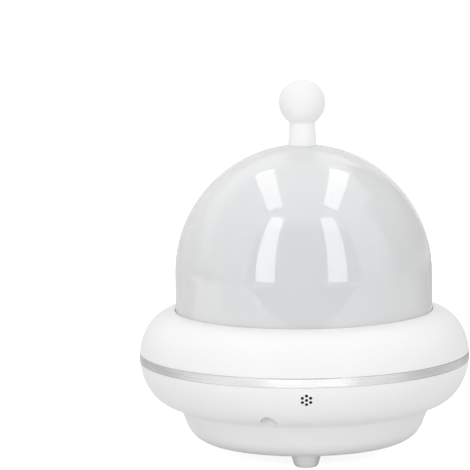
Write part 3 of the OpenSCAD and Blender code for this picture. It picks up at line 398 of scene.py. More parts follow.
def grade(material, bottom_z, top_z, top_colour):
    """Blends a material's colour towards another with height in the object's own space."""
    tree = material.node_tree
    z = axis_of(tree, object_place(tree), "Z")
    recolour(material, ramp(tree, z, 0, 1, span=(bottom_z, top_z)), top_colour)


def inside(tree, limits):
    """1 within the limits, axis: (from, to), of the object's own space, else 0."""
    place = object_place(tree)
    mask = 1
    for axis, (start, end) in limits.items():
        within = maths(tree, "COMPARE", axis_of(tree, place, axis), (start + end) / 2, (end - start) / 2)
        mask = maths(tree, "MULTIPLY", mask, within)
    return mask


MATERIALS = {
    "white_gloss": finish_of("white_gloss", (0.94, 0.94, 0.94), 0.42, mottle=0.006, grain_scale=2600,
                             grain=0.03, Specular_IOR_Level=0.4, Sheen_Weight=0.15,
                             Sheen_Roughness=0.4),
    # The knob's white plastic, painted lighter than the housing's below; the knob blends it darker towards
    # the top as painted shade
    "knob_white_painted_shade": finish_of("knob_white_painted_shade", (0.98, 0.98, 0.98), 0.6, mottle=0.006,
                            grain_scale=2600, grain=0.03, Specular_IOR_Level=0.2),
    "frosted_dome": finish_of("frosted_dome", (0.955, 0.96, 0.965), 0.42, mottle=0.006, mottle_scale=30,
                              grain_scale=2600, grain=0.02, Transmission_Weight=0.36, IOR=1.3,
                              Coat_Weight=1.0, Coat_IOR=1.85, Coat_Roughness=0.015, Sheen_Weight=0.15,
                              Sheen_Roughness=0.4),
    "silver_diffuser": finish_of("silver_diffuser", (0.52, 0.52, 0.525), 0.2, mottle=0.16,
                                 mottle_scale=1300, mottle_stretch=(0.04, 0.04, 1),
                                 roughness_spread=0.06, grain_scale=3000,
                                 grain_stretch=(0.02, 0.02, 1), grain=0.06, Metallic=0.9),
    "grey_rubber": finish_of("grey_rubber", (0.97, 0.97, 0.97), 0.5, grain_scale=2200, grain=0.15,
                             Sheen_Weight=0.1),
    "steel": finish_of("steel", (0.64, 0.64, 0.655), 0.28, Metallic=1.0, mottle=0.06, mottle_scale=500,
                       roughness_spread=0.1, grain_scale=3000, grain=0.12),
    "deck_white": finish_of("deck_white", (0.82, 0.82, 0.83), 0.5, grain_scale=2600, grain=0.35,
                            grain_depth=0.08 * MM),
    "gear_white": finish_of("gear_white", (0.89, 0.88, 0.84), 0.38, mottle=0.02, grain_scale=1200,
                            Sheen_Weight=0.15, Sheen_Roughness=0.4),
    "black_plastic": finish_of("black_plastic", (0.022, 0.022, 0.024), 0.48, mottle=0.15,
                               grain_scale=2600, grain=0.25),
    "film_blue": finish_of("film_blue", (0.62, 0.74, 0.98), 0.12, mottle=0.03, grain_scale=160,
                           grain=0.05, Transmission_Weight=0.85, IOR=1.35),
    "mask_film": finish_of("mask_film", (0.20, 0.32, 0.72), 0.34, mottle=0.06, grain_scale=1500,
                           grain=0.1, Coat_Weight=0.3),
    "aluminium": finish_of("aluminium", (0.78, 0.785, 0.79), 0.33, Metallic=1.0, mottle=0.05,
                           grain_scale=1800, grain_stretch=(1, 1, 0.1), grain=0.2),
    "board_white": finish_of("board_white", (0.84, 0.84, 0.82), 0.4, mottle_scale=300, grain_scale=1500),
    "led_yellow": finish_of("led_yellow", (0.93, 0.84, 0.36), 0.22, mottle=0.06, mottle_scale=700,
                            Coat_Weight=0.7),
    "clear_lens": finish_of("clear_lens", (0.97, 0.98, 0.99), 0.04, roughness_spread=0.015,
                            mottle=0.005, grain=0.01, Transmission_Weight=0.95, IOR=1.49),
    "brass_yellow": finish_of("brass_yellow", (0.80, 0.60, 0.26), 0.26, Metallic=1.0, mottle=0.06,
                              grain_scale=1800, grain_stretch=(1, 1, 6), grain=0.2),
    "amber_film": finish_of("amber_film", (0.70, 0.42, 0.08), 0.28, mottle=0.08, Coat_Weight=0.4),
    "board_green": finish_of("board_green", (0.03, 0.24, 0.11), 0.36, mottle=0.12, mottle_scale=420,
                             grain_scale=1400, grain=0.12, Coat_Weight=0.4),
    "cell_blue": finish_of("cell_blue", (0.07, 0.20, 0.55), 0.32, mottle=0.05, mottle_scale=150,
                           grain_scale=240, grain=0.2, Coat_Weight=0.3),
    "foam_tape": finish_of("foam_tape", (0.20, 0.20, 0.20), 0.85, mottle=0.2, mottle_scale=1500,
                           grain_scale=2400, grain=0.6, grain_depth=0.15 * MM),
    "button_white": finish_of("button_white", (0.84, 0.84, 0.85), 0.3, grain_scale=1800, grain=0.12,
                              Coat_Weight=0.2),
    "switch_black": finish_of("switch_black", (0.03, 0.03, 0.032), 0.45, mottle=0.15,
                              grain_scale=2600, grain=0.2),
}


# ---------- Housing shells ----------

# An arc starts this far past the point before it, which keeps the points apart and gives a fillet room
ARC_STEP = math.radians(1.2)


def angle_between(centre, other):
    """The direction from one outline point to another."""
    away = other - centre
    return math.atan2(away[1], away[0])


def upper_housing():
    """Upper housing: the round shoulder, the lip and seat of the dome, and the screw bosses."""
    rim_z = RING_Z + RING_H / 2
    join = angle_between(UPPER_SIDE_C, UPPER_TOP_C)
    rim_angle = math.asin(RING_H / 2 / UPPER_SIDE_R)
    inner_rim = math.asin(RING_H / 2 / (UPPER_SIDE_R - WALL))
    crown_end = math.acos((LIP_R + LIP_ROUND - UPPER_TOP_C[0]) / UPPER_TOP_R)
    roof_r = UPPER_TOP_R - WALL
    roof_start = math.acos((SKIRT_R - UPPER_TOP_C[0]) / roof_r)
    lip_z = UPPER_TOP_C[1] + UPPER_TOP_R * math.sin(crown_end)
    lip_start = math.radians(100)
    outline = (
        [(UPPER_SIDE_C[0] + UPPER_SIDE_R * math.cos(rim_angle), rim_z, SKIN_EDGE)]
        + arc(UPPER_SIDE_C, UPPER_SIDE_R, rim_angle + ARC_STEP, join, 22)
        + arc(UPPER_TOP_C, UPPER_TOP_R, join + ARC_STEP, crown_end, 40)
        + arc((LIP_R + LIP_ROUND, lip_z - LIP_ROUND), LIP_ROUND, lip_start, math.pi, 8)
        + [(LIP_R, DECK_Z, 0), (DECK_SEAT_R, DECK_Z, SKIN_EDGE), (DECK_SEAT_R, DECK_SEAT_Z, 0),
           (DECK_HOLE_R, DECK_SEAT_Z, PLAIN_EDGE), (DECK_HOLE_R, LEDGE_Z, PLAIN_EDGE),
           (SKIRT_R, LEDGE_Z, 0)]
        + arc(UPPER_TOP_C, roof_r, roof_start, join + ARC_STEP, 20)
        + arc(UPPER_SIDE_C, UPPER_SIDE_R - WALL, join, inner_rim, 14))
    shell = lathe("upper_shell", outline)

    # Bosses for the housing screws, and pads for the deck's screws
    boss_h, boss_hole_r, boss_hole_h, boss_hole_start = 11.6 * MM, 1.5 * MM, 11 * MM, -0.5 * MM
    pad_r, pad_h, pad_hole_r, pad_hole_h = 2.4 * MM, 5 * MM, 1.15 * MM, 9 * MM
    pad_z, pad_hole_z = LEDGE_Z - 4 * MM, DECK_SEAT_Z - 6 * MM
    pad_circle_r = (DECK_SEAT_R + DECK_HOLE_R) / 2
    bosses, holes = [], []
    for turn, pad_turn in zip(thirds(WELL_ANGLE), thirds(math.radians(30))):
        place = turned(0, turn, (WELL_CIRCLE_R, 0, WELL_SEAT_Z))
        bosses.append(drum(BOSS_R, boss_h, place))
        hole = place @ Matrix.Translation((0, 0, boss_hole_start))
        holes.append(drum(boss_hole_r, boss_hole_h, hole, 32))
        bosses.append(drum(pad_r, pad_h, turned(0, pad_turn, (pad_circle_r, 0, pad_z)), 48))
        pad_hole = turned(0, pad_turn, (pad_circle_r, 0, pad_hole_z))
        holes.append(drum(pad_hole_r, pad_hole_h, pad_hole, 32))
    combine(shell, union(bosses), "UNION")
    combine(shell, union(holes), "DIFFERENCE")
    smooth(shell)
    return dress(shell, MATERIALS["white_gloss"], "housing", "upper_housing")


def lower_skin(inset, start):
    """Outline of the lower housing's skin, or of a surface within its wall, from start downwards."""
    out = Vector((math.cos(CUP_DRAFT), -math.sin(CUP_DRAFT)))
    up = Vector((math.sin(CUP_DRAFT), math.cos(CUP_DRAFT)))
    corner = Vector((CUP_R, CREASE_Z)) + CREASE_R * out
    away = corner - LOWER_EDGE_C
    along = away.dot(up)
    slide = -along - math.sqrt(along ** 2 - away.length_squared + (LOWER_EDGE_R + CREASE_R) ** 2)
    crease_c = corner + slide * up
    crease_turn = angle_between(LOWER_EDGE_C, crease_c)
    join = angle_between(LOWER_SIDE_C, LOWER_EDGE_C)
    past_join = join - math.radians(1)
    return (arc(LOWER_SIDE_C, LOWER_SIDE_R - inset, start, join, 20)
            + arc(LOWER_EDGE_C, LOWER_EDGE_R - inset, past_join, crease_turn, 32)
            + arc(crease_c, CREASE_R + inset, crease_turn + math.pi, math.pi - CUP_DRAFT, 12)
            + arc(CUP_EDGE_C, CUP_EDGE_R - inset, -CUP_DRAFT, -math.pi / 2, 26))


def lower_outline():
    """Outline of the lower housing's shell: the skin, the hatch's rim, the inside and the shelf."""
    rim_angle = -math.asin(RING_H / 2 / LOWER_SIDE_R)
    inner_side_r = LOWER_SIDE_R - WALL
    inner_edge_r = LOWER_EDGE_R - WALL
    join = angle_between(LOWER_SIDE_C, LOWER_EDGE_C)
    sill_z = LOWER_EDGE_C[1] - inner_edge_r
    sill_r = cup_wall_r(sill_z) - WALL / math.cos(CUP_DRAFT)
    ledge_w = 3 * MM
    ledge_top_z = FLOOR_Z + WALL

    def side_angle(z):
        """Direction of the inner side wall at a height, from the side's curve centre."""
        return -math.asin((RING_Z - z) / inner_side_r)

    return (
        [(LOWER_SIDE_C[0] + LOWER_SIDE_R * math.cos(rim_angle), RING_Z - RING_H / 2, SKIN_EDGE)]
        + lower_skin(0, rim_angle - ARC_STEP)
        + [(HATCH_R, BASE_Z, SOFT_EDGE), (HATCH_R, FLOOR_Z, 0), (HATCH_R - ledge_w, FLOOR_Z, 0),
           (HATCH_R - ledge_w, ledge_top_z, PLAIN_EDGE), (HATCH_R + ledge_w, ledge_top_z, PLAIN_EDGE),
           (HATCH_R + ledge_w, FLOOR_Z, 0)]
        + arc(CUP_EDGE_C, CUP_EDGE_R - WALL, -math.pi / 2, -CUP_DRAFT, 14)
        + [(sill_r, sill_z, 0)]
        + arc(LOWER_EDGE_C, inner_edge_r, -math.pi / 2, join, 20)
        + arc(LOWER_SIDE_C, inner_side_r, join, side_angle(SHELF_Z - SHELF_T), 10)
        + [(SHELF_R, SHELF_Z - SHELF_T, PLAIN_EDGE), (SHELF_R, SHELF_Z, PLAIN_EDGE)]
        + arc(LOWER_SIDE_C, inner_side_r, side_angle(SHELF_Z), side_angle(RING_Z - RING_H / 2), 4))


def mic_frame(depth):
    """A place on the front skin at the microphone, depth below the surface, its Z axis outwards."""
    skin = LOWER_SIDE_C + LOWER_SIDE_R * Vector((math.cos(MIC_TILT), -math.sin(MIC_TILT)))
    place = Matrix.Translation((0, -skin[0], skin[1])) @ Matrix.Rotation(math.pi / 2 + MIC_TILT, 4, "X")
    return place @ Matrix.Translation((0, 0, -depth))


def backward(x, y):
    """A place at the height of the buttons, its Z axis towards the back."""
    return turned(-math.pi / 2, 0, (x, y, BUTTON_Z))


def lower_housing_insides():
    """Bosses, posts, pads and pegs, which end within the housing's wall."""
    root_z = BASE_Z + WALL / 2
    well_wall, hatch_boss_h, hatch_boss_lift = 1.4 * MM, 4.2 * MM, 0.1 * MM
    collar_w, collar_l, button_post_r, button_post_l = 2.3 * MM, 10 * MM, 2.4 * MM, 14 * MM
    mic_rim, board_post_r, peg_r, peg_inset = 1.1 * MM, 2.8 * MM, 2 * MM, 3 * MM
    pedestal_l, pedestal_w, switch_drop = 4 * MM, 9 * MM, 2.2 * MM
    parts = []
    for well_turn, hatch_turn in zip(thirds(WELL_ANGLE), thirds(math.pi / 2)):
        well = turned(0, well_turn, (WELL_CIRCLE_R, 0, CREASE_Z))
        parts.append(drum(WELL_R + well_wall, WELL_SEAT_Z - CREASE_Z, well))
        boss = turned(0, hatch_turn, (HATCH_SCREW_CIRCLE_R, 0, FLOOR_Z + hatch_boss_lift))
        parts.append(drum(HATCH_SCREW_R, hatch_boss_h, boss, 48))
    for x in (-BUTTON_X, BUTTON_X):
        parts.append(drum(BUTTON_R + collar_w, collar_l, backward(x, BUTTON_FACE_Y)))
    for x in (-BUTTON_POST_X, BUTTON_POST_X):
        parts.append(drum(button_post_r, button_post_l, backward(x, high("button_board")[1]), 48))
    parts.append(drum(MIC_POCKET_R + mic_rim, MIC_HOLDER_H + WALL / 2, mic_frame(WALL + MIC_HOLDER_H), 48))
    for angle in BOARD_POST_ANGLES:
        place = turned(0, math.radians(angle), (BOARD_POST_CIRCLE, 0, root_z))
        parts.append(drum(board_post_r, low("main_board")[2] - root_z, place, 48))
    for x in (-PEG_X, PEG_X):
        place = Matrix.Translation((x, high("charge_board")[1] - peg_inset, root_z))
        parts.append(drum(peg_r, low("charge_board")[2] - root_z, place, 48))
    pedestal_h = SOCKET_Z - switch_drop - root_z
    pedestal = turned(0, SLIDER_ANGLE, (SLIDER_FRONT - pedestal_l / 2, 0, root_z + pedestal_h / 2))
    parts.append(block((pedestal_l, pedestal_w, pedestal_h), pedestal))
    insides = union(parts)
    shelf_middle_z = SHELF_Z - SHELF_T / 2
    start = -math.asin((RING_Z - shelf_middle_z) / (LOWER_SIDE_R - WALL / 2))
    trim = [(0, shelf_middle_z, 0)] + lower_skin(WALL / 2, start) + [(0, root_z, 0)]
    return combine(insides, lathe("trim", trim, 128), "INTERSECT")


def slot_outline(width, height, length, matrix):
    """A round-ended bar along the matrix's Z axis."""
    ends = [drum(height / 2, length, matrix @ Matrix.Translation((x, 0, 0)), 40)
            for x in ((height - width) / 2, (width - height) / 2)]
    middle = block((width - height, height, length), matrix @ Matrix.Translation((0, 0, length / 2)))
    return union(ends + [middle])


def lower_housing_cuts():
    """Screw wells, sound holes, and the openings for feet, buttons, socket and slider."""
    thread_hole_r, well_hole_r, foot_hole_r = 1.13 * MM, 1.7 * MM, 2.1 * MM
    well_start, well_seat_t = CREASE_Z - 2 * MM, 3 * MM
    foot_hole_h, hatch_hole_h, mic_hole_l, pocket_extra = 5 * MM, 4 * MM, 6 * MM, 0.5 * MM
    button_gap, button_hole_l, post_hole_l = 0.3 * MM, 12 * MM, 8 * MM
    board_hole_h, board_hole_depth = 7 * MM, 6 * MM
    socket_w, socket_h, socket_l = 9.6 * MM, 3.8 * MM, 14 * MM
    window_size = (14 * MM, 6.6 * MM, 3 * MM)
    cuts = []
    front, back = -math.pi / 2, math.pi / 2
    for well_turn, foot_turn, hatch_turn in zip(thirds(WELL_ANGLE), thirds(front), thirds(back)):
        well = turned(0, well_turn, (WELL_CIRCLE_R, 0, well_start))
        cuts.append(drum(WELL_R, WELL_SEAT_Z - well_seat_t - well_start, well))
        cuts.append(drum(well_hole_r, RING_Z - well_start, well, 32))
        foot_hole = turned(0, foot_turn, (FOOT_CIRCLE_R, 0, BASE_Z - REACH))
        cuts.append(drum(foot_hole_r, foot_hole_h, foot_hole, 40))
        hatch_hole = turned(0, hatch_turn, (HATCH_SCREW_CIRCLE_R, 0, FLOOR_Z - REACH))
        cuts.append(drum(thread_hole_r, hatch_hole_h, hatch_hole, 32))
    cuts.append(drum(MIC_HOLE_R, mic_hole_l, mic_frame(WALL + REACH), 40))
    for turn in MIC_HOLE_TURNS:
        place = mic_frame(WALL + REACH) @ turned(0, turn, (MIC_PITCH, 0, 0))
        cuts.append(drum(MIC_HOLE_R, mic_hole_l, place, 40))
    pocket_depth = WALL + MIC_HOLDER_H + pocket_extra
    cuts.append(drum(MIC_POCKET_R, pocket_depth - MIC_WALL, mic_frame(pocket_depth), 64))
    for x in (-BUTTON_X, BUTTON_X):
        cuts.append(drum(BUTTON_R + button_gap, button_hole_l, backward(x, BUTTON_FACE_Y - REACH), 80))
    for x in (-BUTTON_POST_X, BUTTON_POST_X):
        cuts.append(drum(thread_hole_r, post_hole_l, backward(x, low("button_board")[1]), 32))
    for angle in BOARD_POST_ANGLES:
        hole_z = low("main_board")[2] - board_hole_depth
        place = turned(0, math.radians(angle), (BOARD_POST_CIRCLE, 0, hole_z))
        cuts.append(drum(thread_hole_r, board_hole_h, place, 32))
    socket = turned(-math.pi / 2, 0, (0, high("usb_socket")[1] - socket_l / 2, SOCKET_Z))
    cuts.append(slot_outline(socket_w, socket_h, socket_l, socket))
    window = turned(0, SLIDER_ANGLE, (cup_wall_r(SOCKET_Z), 0, SOCKET_Z))
    cuts.append(block(window_size, window))
    return union(cuts)


def paint_shade_in_sound_holes(shell):
    """Painted shade: paints the walls of the sound holes black, so that they read as dark holes."""
    shell.data.materials.append(MATERIALS["black_plastic"])
    above_skin, rim_slack = 0.1 * MM, 1.02
    to_mic = mic_frame(0).inverted()
    holes = [Vector((0, 0))] + [MIC_PITCH * Vector((math.cos(a), math.sin(a))) for a in MIC_HOLE_TURNS]
    for face in shell.data.polygons:
        centre = to_mic @ face.center
        in_a_hole = any((centre.xy - hole).length < MIC_HOLE_R * rim_slack for hole in holes)
        if -MIC_WALL < centre.z < above_skin and in_a_hole:
            face.material_index = 1


def lower_housing():
    """Lower housing: the bulge, the crease and the cup, with everything moulded inside it."""
    shell = lathe("lower_shell", lower_outline())
    combine(shell, lower_housing_insides(), "UNION")
    combine(shell, lower_housing_cuts(), "DIFFERENCE")
    smooth(shell)
    dress(shell, MATERIALS["white_gloss"], "housing", "lower_housing")
    paint_shade_in_sound_holes(shell)
    return shell


def light_ring():
    """Light ring: the silvered band between the housings and the rib that they clamp."""
    half_h, half_rib = RING_H / 2, RING_RIB_H / 2
    outline = [(RING_INNER_R, RING_Z - half_rib, FINE_EDGE), (RING_RIB_R, RING_Z - half_rib, FINE_EDGE),
               (RING_RIB_R, RING_Z - half_h, 0), (RING_R, RING_Z - half_h, SKIN_EDGE),
               (RING_R, RING_Z + half_h, SKIN_EDGE), (RING_RIB_R, RING_Z + half_h, 0),
               (RING_RIB_R, RING_Z + half_rib, FINE_EDGE), (RING_INNER_R, RING_Z + half_rib, FINE_EDGE)]
    ring = lathe("light_band", outline)
    return dress(ring, MATERIALS["silver_diffuser"], "housing", "light_ring")


def foot(node, angle):
    """One foot, at an angle in degrees: a tapered stud and the plug that snaps through the floor."""
    top_r, tread_r, edge_r, plug_r = 6.7 * MM, 5.2 * MM, 1.3 * MM, 2 * MM
    bulb_w, plug_end_h, bulb_edge = 0.8 * MM, 2 * MM, 0.4 * MM
    slope = math.atan((top_r - tread_r) / BASE_Z)
    bulb_z = FLOOR_Z + 0.1 * MM
    bulb_r, tip_r, tip_z = plug_r + bulb_w, plug_r - bulb_w, bulb_z + plug_end_h
    outline = ([(0, 0, 0)] + arc((tread_r - edge_r, edge_r), edge_r, -math.pi / 2, -slope, 10)
               + [(top_r, BASE_Z, FINE_EDGE), (plug_r, BASE_Z, 0), (plug_r, bulb_z, 0),
                  (bulb_r, bulb_z, PLAIN_EDGE), (bulb_r, bulb_z + bulb_w, bulb_edge),
                  (tip_r, tip_z, PLAIN_EDGE), (0, tip_z, 0)])
    stud = lathe(node + "_stud", outline, 96)
    stud.data.transform(turned(0, math.radians(angle), (FOOT_CIRCLE_R, 0, 0)))
    return dress(stud, MATERIALS["grey_rubber"], "housing", node)


# ---------- Dome and knob ----------

def dome_cover():
    """Dome: an even milky shell with a soft lower edge and the pad that the knob is screwed to."""
    inner_r = DOME_R - DOME_WALL
    hole_r = 1.7 * MM
    foot_z = low("dome_cover")[2]
    pad_z = DOME_MID_Z + inner_r - DOME_PAD_T
    outline = (
        [(DOME_R, foot_z, ROUND_EDGE)]
        + arc((0, DOME_MID_Z), DOME_R, 0, math.acos(hole_r / DOME_R), 72)
        + [(hole_r, pad_z, FINE_EDGE), (DOME_PAD_R, pad_z, SOFT_EDGE)]
        + arc((0, DOME_MID_Z), inner_r, math.acos(DOME_PAD_R / inner_r), 0, 64)
        + [(inner_r, foot_z, ROUND_EDGE)])
    dome = lathe("dome_shell", outline, 320)
    return dress(dome, MATERIALS["frosted_dome"], "dome", "dome_cover")


def ball_knob():
    """Knob: a ball on a slightly flared stem, hollowed below to sit on the dome, with painted shade
    darkening it towards the top.
    """
    seat_r, screw_r, screw_depth = DOME_R + 0.06 * MM, 1.53 * MM, 17 * MM
    neck_edge, base_edge, painted_top_shade = 0.7 * MM, 0.04 * MM, (0.90, 0.90, 0.90)
    neck_z = BALL_Z - math.sqrt(BALL_R ** 2 - STEM_TOP_R ** 2)
    neck_end = -math.acos(STEM_TOP_R / BALL_R) + math.radians(4)
    base_angle = math.acos(STEM_BASE_R / seat_r)
    base_z = DOME_MID_Z + seat_r * math.sin(base_angle)
    seat_start, seat_end = base_angle + math.radians(0.5), math.acos(screw_r / seat_r)
    hole_top_z = low("knob_screw")[2] + screw_depth
    outline = (
        arc((0, BALL_Z), BALL_R, math.pi / 2, neck_end, 48)
        + [(STEM_TOP_R, neck_z, neck_edge), (STEM_BASE_R, base_z, base_edge)]
        + arc((0, DOME_MID_Z), seat_r, seat_start, seat_end, 6)
        + [(screw_r, hole_top_z, 0), (0, hole_top_z, 0)])
    outline[0] = (0, BALL_Z + BALL_R, 0)
    knob = lathe("knob_ball", outline, 128)
    # Painted shade: the knob's white goes darker towards the top of the ball and stays lighter below
    grade(MATERIALS["knob_white_painted_shade"], BALL_Z - BALL_R, BALL_Z + BALL_R, painted_top_shade)
    return dress(knob, MATERIALS["knob_white_painted_shade"], "dome", "ball_knob")


# ---------- Controls ----------

def push_button(node, x):
    """Push button: a slightly crowned cap with a soft edge, its flange and its stem."""
    back_y, flange_t, flange_w, cap_r = BUTTON_FACE_Y - 1.4 * MM, 1.1 * MM, 1.3 * MM, 14 * MM
    stem_r, edge_r = 1.9 * MM, 0.5 * MM
    tip_y, stem_y = high(node)[1], low(node)[1]
    flange_y, flange_r = back_y + flange_t, BUTTON_R + flange_w
    crown = (0, tip_y - cap_r)
    crown_end = math.acos((BUTTON_R - edge_r) / cap_r)
    edge_z = crown[1] + math.sqrt(cap_r ** 2 - BUTTON_R ** 2)
    outline = (arc(crown, cap_r, math.pi / 2, crown_end, 12)
               + [(BUTTON_R, edge_z, edge_r), (BUTTON_R, flange_y, FINE_EDGE),
                  (flange_r, flange_y, PLAIN_EDGE), (flange_r, back_y, PLAIN_EDGE),
                  (stem_r, back_y, PLAIN_EDGE), (stem_r, stem_y, PLAIN_EDGE), (0, stem_y, 0)])
    outline[0] = (0, tip_y, 0)
    cap = lathe(node + "_cap", outline, 96)
    cap.data.transform(backward(x, 0))
    return dress(cap, MATERIALS["button_white"], node, node)


def power_slider():
    """Power slider: a nub with finger grooves on the flat base that the switch moves."""
    nub_r = cup_wall_r(SOCKET_Z) + 0.6 * MM
    base_r = SLIDER_FRONT + 0.1 * MM
    middle_y = -1.5 * MM
    nub_w, nub_h, nub_edge = 3 * MM, 2.4 * MM, 0.25 * MM
    base_t, base_w, base_h = 0.8 * MM, 8 * MM, 4 * MM
    groove_r, groove_pitch, groove_h, groove_out = 0.25 * MM, 0.8 * MM, 4 * MM, 0.05 * MM
    nub = block((nub_r - base_r, nub_w, nub_h),
                turned(0, SLIDER_ANGLE, ((nub_r + base_r) / 2, middle_y, SOCKET_Z)), nub_edge)
    base = block((base_t, base_w, base_h),
                 turned(0, SLIDER_ANGLE, (base_r + base_t / 2, middle_y, SOCKET_Z)), SKIN_EDGE)
    combine(nub, base, "UNION")
    for y in (-groove_pitch, 0, groove_pitch):
        place = turned(0, SLIDER_ANGLE, (nub_r + groove_out, middle_y + y, SOCKET_Z - groove_h / 2))
        combine(nub, drum(groove_r, groove_h, place, 24), "DIFFERENCE")
    nub.name = "slider_nub"
    smooth(nub)
    return dress(nub, MATERIALS["black_plastic"], "power_slider", "power_slider")


# ---------- Paint for the CAD nodes ----------

def paint_nodes():
    """Gives every CAD node the material of its slot."""
    for part in frame["record"]["subparts"]:
        mesh = frame["nodes"][part["node"]].data
        mesh.materials.clear()
        mesh.materials.append(MATERIALS[part["material_slot"]])


def tint(node, name, limits, colour):
    """Gives a node a copy of its material that is another colour, and no metal, within the limits."""
    mesh = frame["nodes"][node].data
    material = mesh.materials[0].copy()
    material.name = name
    tree = material.node_tree
    mask = inside(tree, limits)
    recolour(material, mask, colour)
    metallic = tree.nodes["Principled BSDF"].inputs["Metallic"]
    tree.links.new(ramp(tree, mask, metallic.default_value, 0), metallic)
    mesh.materials[0] = material


def tint_small_parts():
    """Colours of the socket's tongue, the switches' plungers and the plug headers."""
    tongue_x, tongue_z = 3.3 * MM, 0.4 * MM
    tint("usb_socket", "socket_tongue",
         {"X": (-tongue_x, tongue_x), "Z": (SOCKET_Z - tongue_z, SOCKET_Z + tongue_z)}, (0.02, 0.02, 0.02))
    plunger_l, slack = 0.45 * MM, 0.1 * MM
    plunger_end = high("button_switches")[1]
    tint("button_switches", "plungers", {"Y": (plunger_end - plunger_l, plunger_end + slack)},
         (0.62, 0.62, 0.60))
    header_l = 6 * MM
    headers_y = low("board_parts")[1]
    tint("board_parts", "headers", {"Y": (headers_y - slack, headers_y + header_l)}, (0.80, 0.77, 0.66))


# ---------- Camera, light and floor ----------

def camera():
    """The photograph's view, set from where the middle of the light ring shows in the frame."""
    focal_px, ring_px = 3402, (304.3, 353.5)
    distance, elevation, azimuth, roll = 1.5, math.radians(10.05), math.radians(-0.6), math.radians(-0.51)
    data = bpy.data.cameras.new("camera")
    data.sensor_width = 36
    data.lens = data.sensor_width * focal_px / FRAME_SIZE
    cam = bpy.data.objects.new("camera", data)
    bpy.context.scene.collection.objects.link(cam)
    back = Vector((math.sin(azimuth) * math.cos(elevation), -math.cos(azimuth) * math.cos(elevation),
                   math.sin(elevation)))
    middle = FRAME_SIZE / 2
    seen = Vector(((ring_px[0] - middle) / focal_px, (middle - ring_px[1]) / focal_px, -1))
    cam.location = Vector((0, 0, RING_Z)) + back * distance
    cam.rotation_mode = "QUATERNION"
    cam.rotation_quaternion = ((-back).to_track_quat("-Z", "Y") @ Quaternion((0, 0, 1), roll)
                               @ seen.rotation_difference(Vector((0, 0, -1))))
    bpy.context.scene.camera = cam


def softbox(name, width, height, place, target, radiance, lean=0.0):
    """A soft rectangular lamp that the camera sees in reflections only, leant about its facing."""
    data = bpy.data.lights.new(name, "AREA")
    data.shape = "RECTANGLE"
    data.size, data.size_y = width, height
    data.energy = radiance * math.pi * width * height
    lamp = bpy.data.objects.new(name, data)
    bpy.context.scene.collection.objects.link(lamp)
    lamp.location = place
    lamp.rotation_mode = "QUATERNION"
    facing = (Vector(target) - Vector(place)).to_track_quat("-Z", "Y")
    lamp.rotation_quaternion = facing @ Quaternion((0, 0, 1), lean)
    lamp.visible_camera = False


def light_path(tree, *kinds):
    """1 for rays of any of these kinds, else 0."""
    path = linked(tree, "ShaderNodeLightPath").outputs
    result = path[kinds[0]]
    for kind in kinds[1:]:
        result = maths(tree, "MAXIMUM", result, path[kind])
    return result


def surroundings(horizon, zenith, backdrop):
    """White where it is seen, pale in reflections, and a dimmer soft light on the object."""
    world = bpy.data.worlds.new("studio")
    world.use_nodes = True
    bpy.context.scene.world = world
    tree = world.node_tree
    direction = linked(tree, "ShaderNodeTexCoord").outputs["Generated"]
    ambient = ramp(tree, axis_of(tree, direction, "Z"), horizon, zenith)
    indirect = ramp(tree, light_path(tree, "Is Glossy Ray", "Is Transmission Ray"), ambient, backdrop)
    strength = ramp(tree, light_path(tree, "Is Camera Ray"), indirect, 1)
    background = tree.nodes["Background"]
    background.inputs["Color"].default_value = (1, 1, 1, 1)
    tree.links.new(strength, background.inputs["Strength"])


def upright(start, end, bottom, top):
    """Corners of an upright panel that stands between two places (x, y)."""
    return [(*start, bottom), (*end, bottom), (*end, top), (*start, top)]


def level(left, right, near, far, z):
    """Corners of a level panel."""
    return [(left, near, z), (right, near, z), (right, far, z), (left, far, z)]


def annulus(inner_r, outer_r, z, start, end, sides=24):
    """Faces of a level ring round the object, between two directions in radians."""
    step = (end - start) / sides
    faces = []
    for i in range(sides):
        a, b = start + step * i, start + step * (i + 1)
        faces.append([(r * math.cos(t), r * math.sin(t), z)
                      for r, t in ((inner_r, a), (outer_r, a), (outer_r, b), (inner_r, b))])
    return faces


def bare_material(name):
    """A new material that has no shader yet."""
    material = bpy.data.materials.new(name)
    material.use_nodes = True
    tree = material.node_tree
    tree.nodes.remove(tree.nodes["Principled BSDF"])
    return material


def card(name, faces, radiance, far_radiance=None, fade=(0, 1)):
    """A panel of the studio that shows in reflections only; it may fade to far_radiance along Y."""
    bm = bmesh.new()
    for corners in faces:
        bm.faces.new([bm.verts.new(corner) for corner in corners])
    panel = add_object(name, bm)
    material = bare_material(name)
    tree = material.node_tree
    strength = radiance
    if far_radiance is not None:
        y = axis_of(tree, object_place(tree), "Y")
        strength = ramp(tree, y, radiance, far_radiance, span=fade, shape="SMOOTHSTEP")
    glow = linked(tree, "ShaderNodeEmission", {"Strength": strength}).outputs["Emission"]
    tree.links.new(glow, tree.nodes["Material Output"].inputs["Surface"])
    panel.data.materials.append(material)
    for seen in ("visible_camera", "visible_diffuse", "visible_shadow"):
        setattr(panel, seen, False)


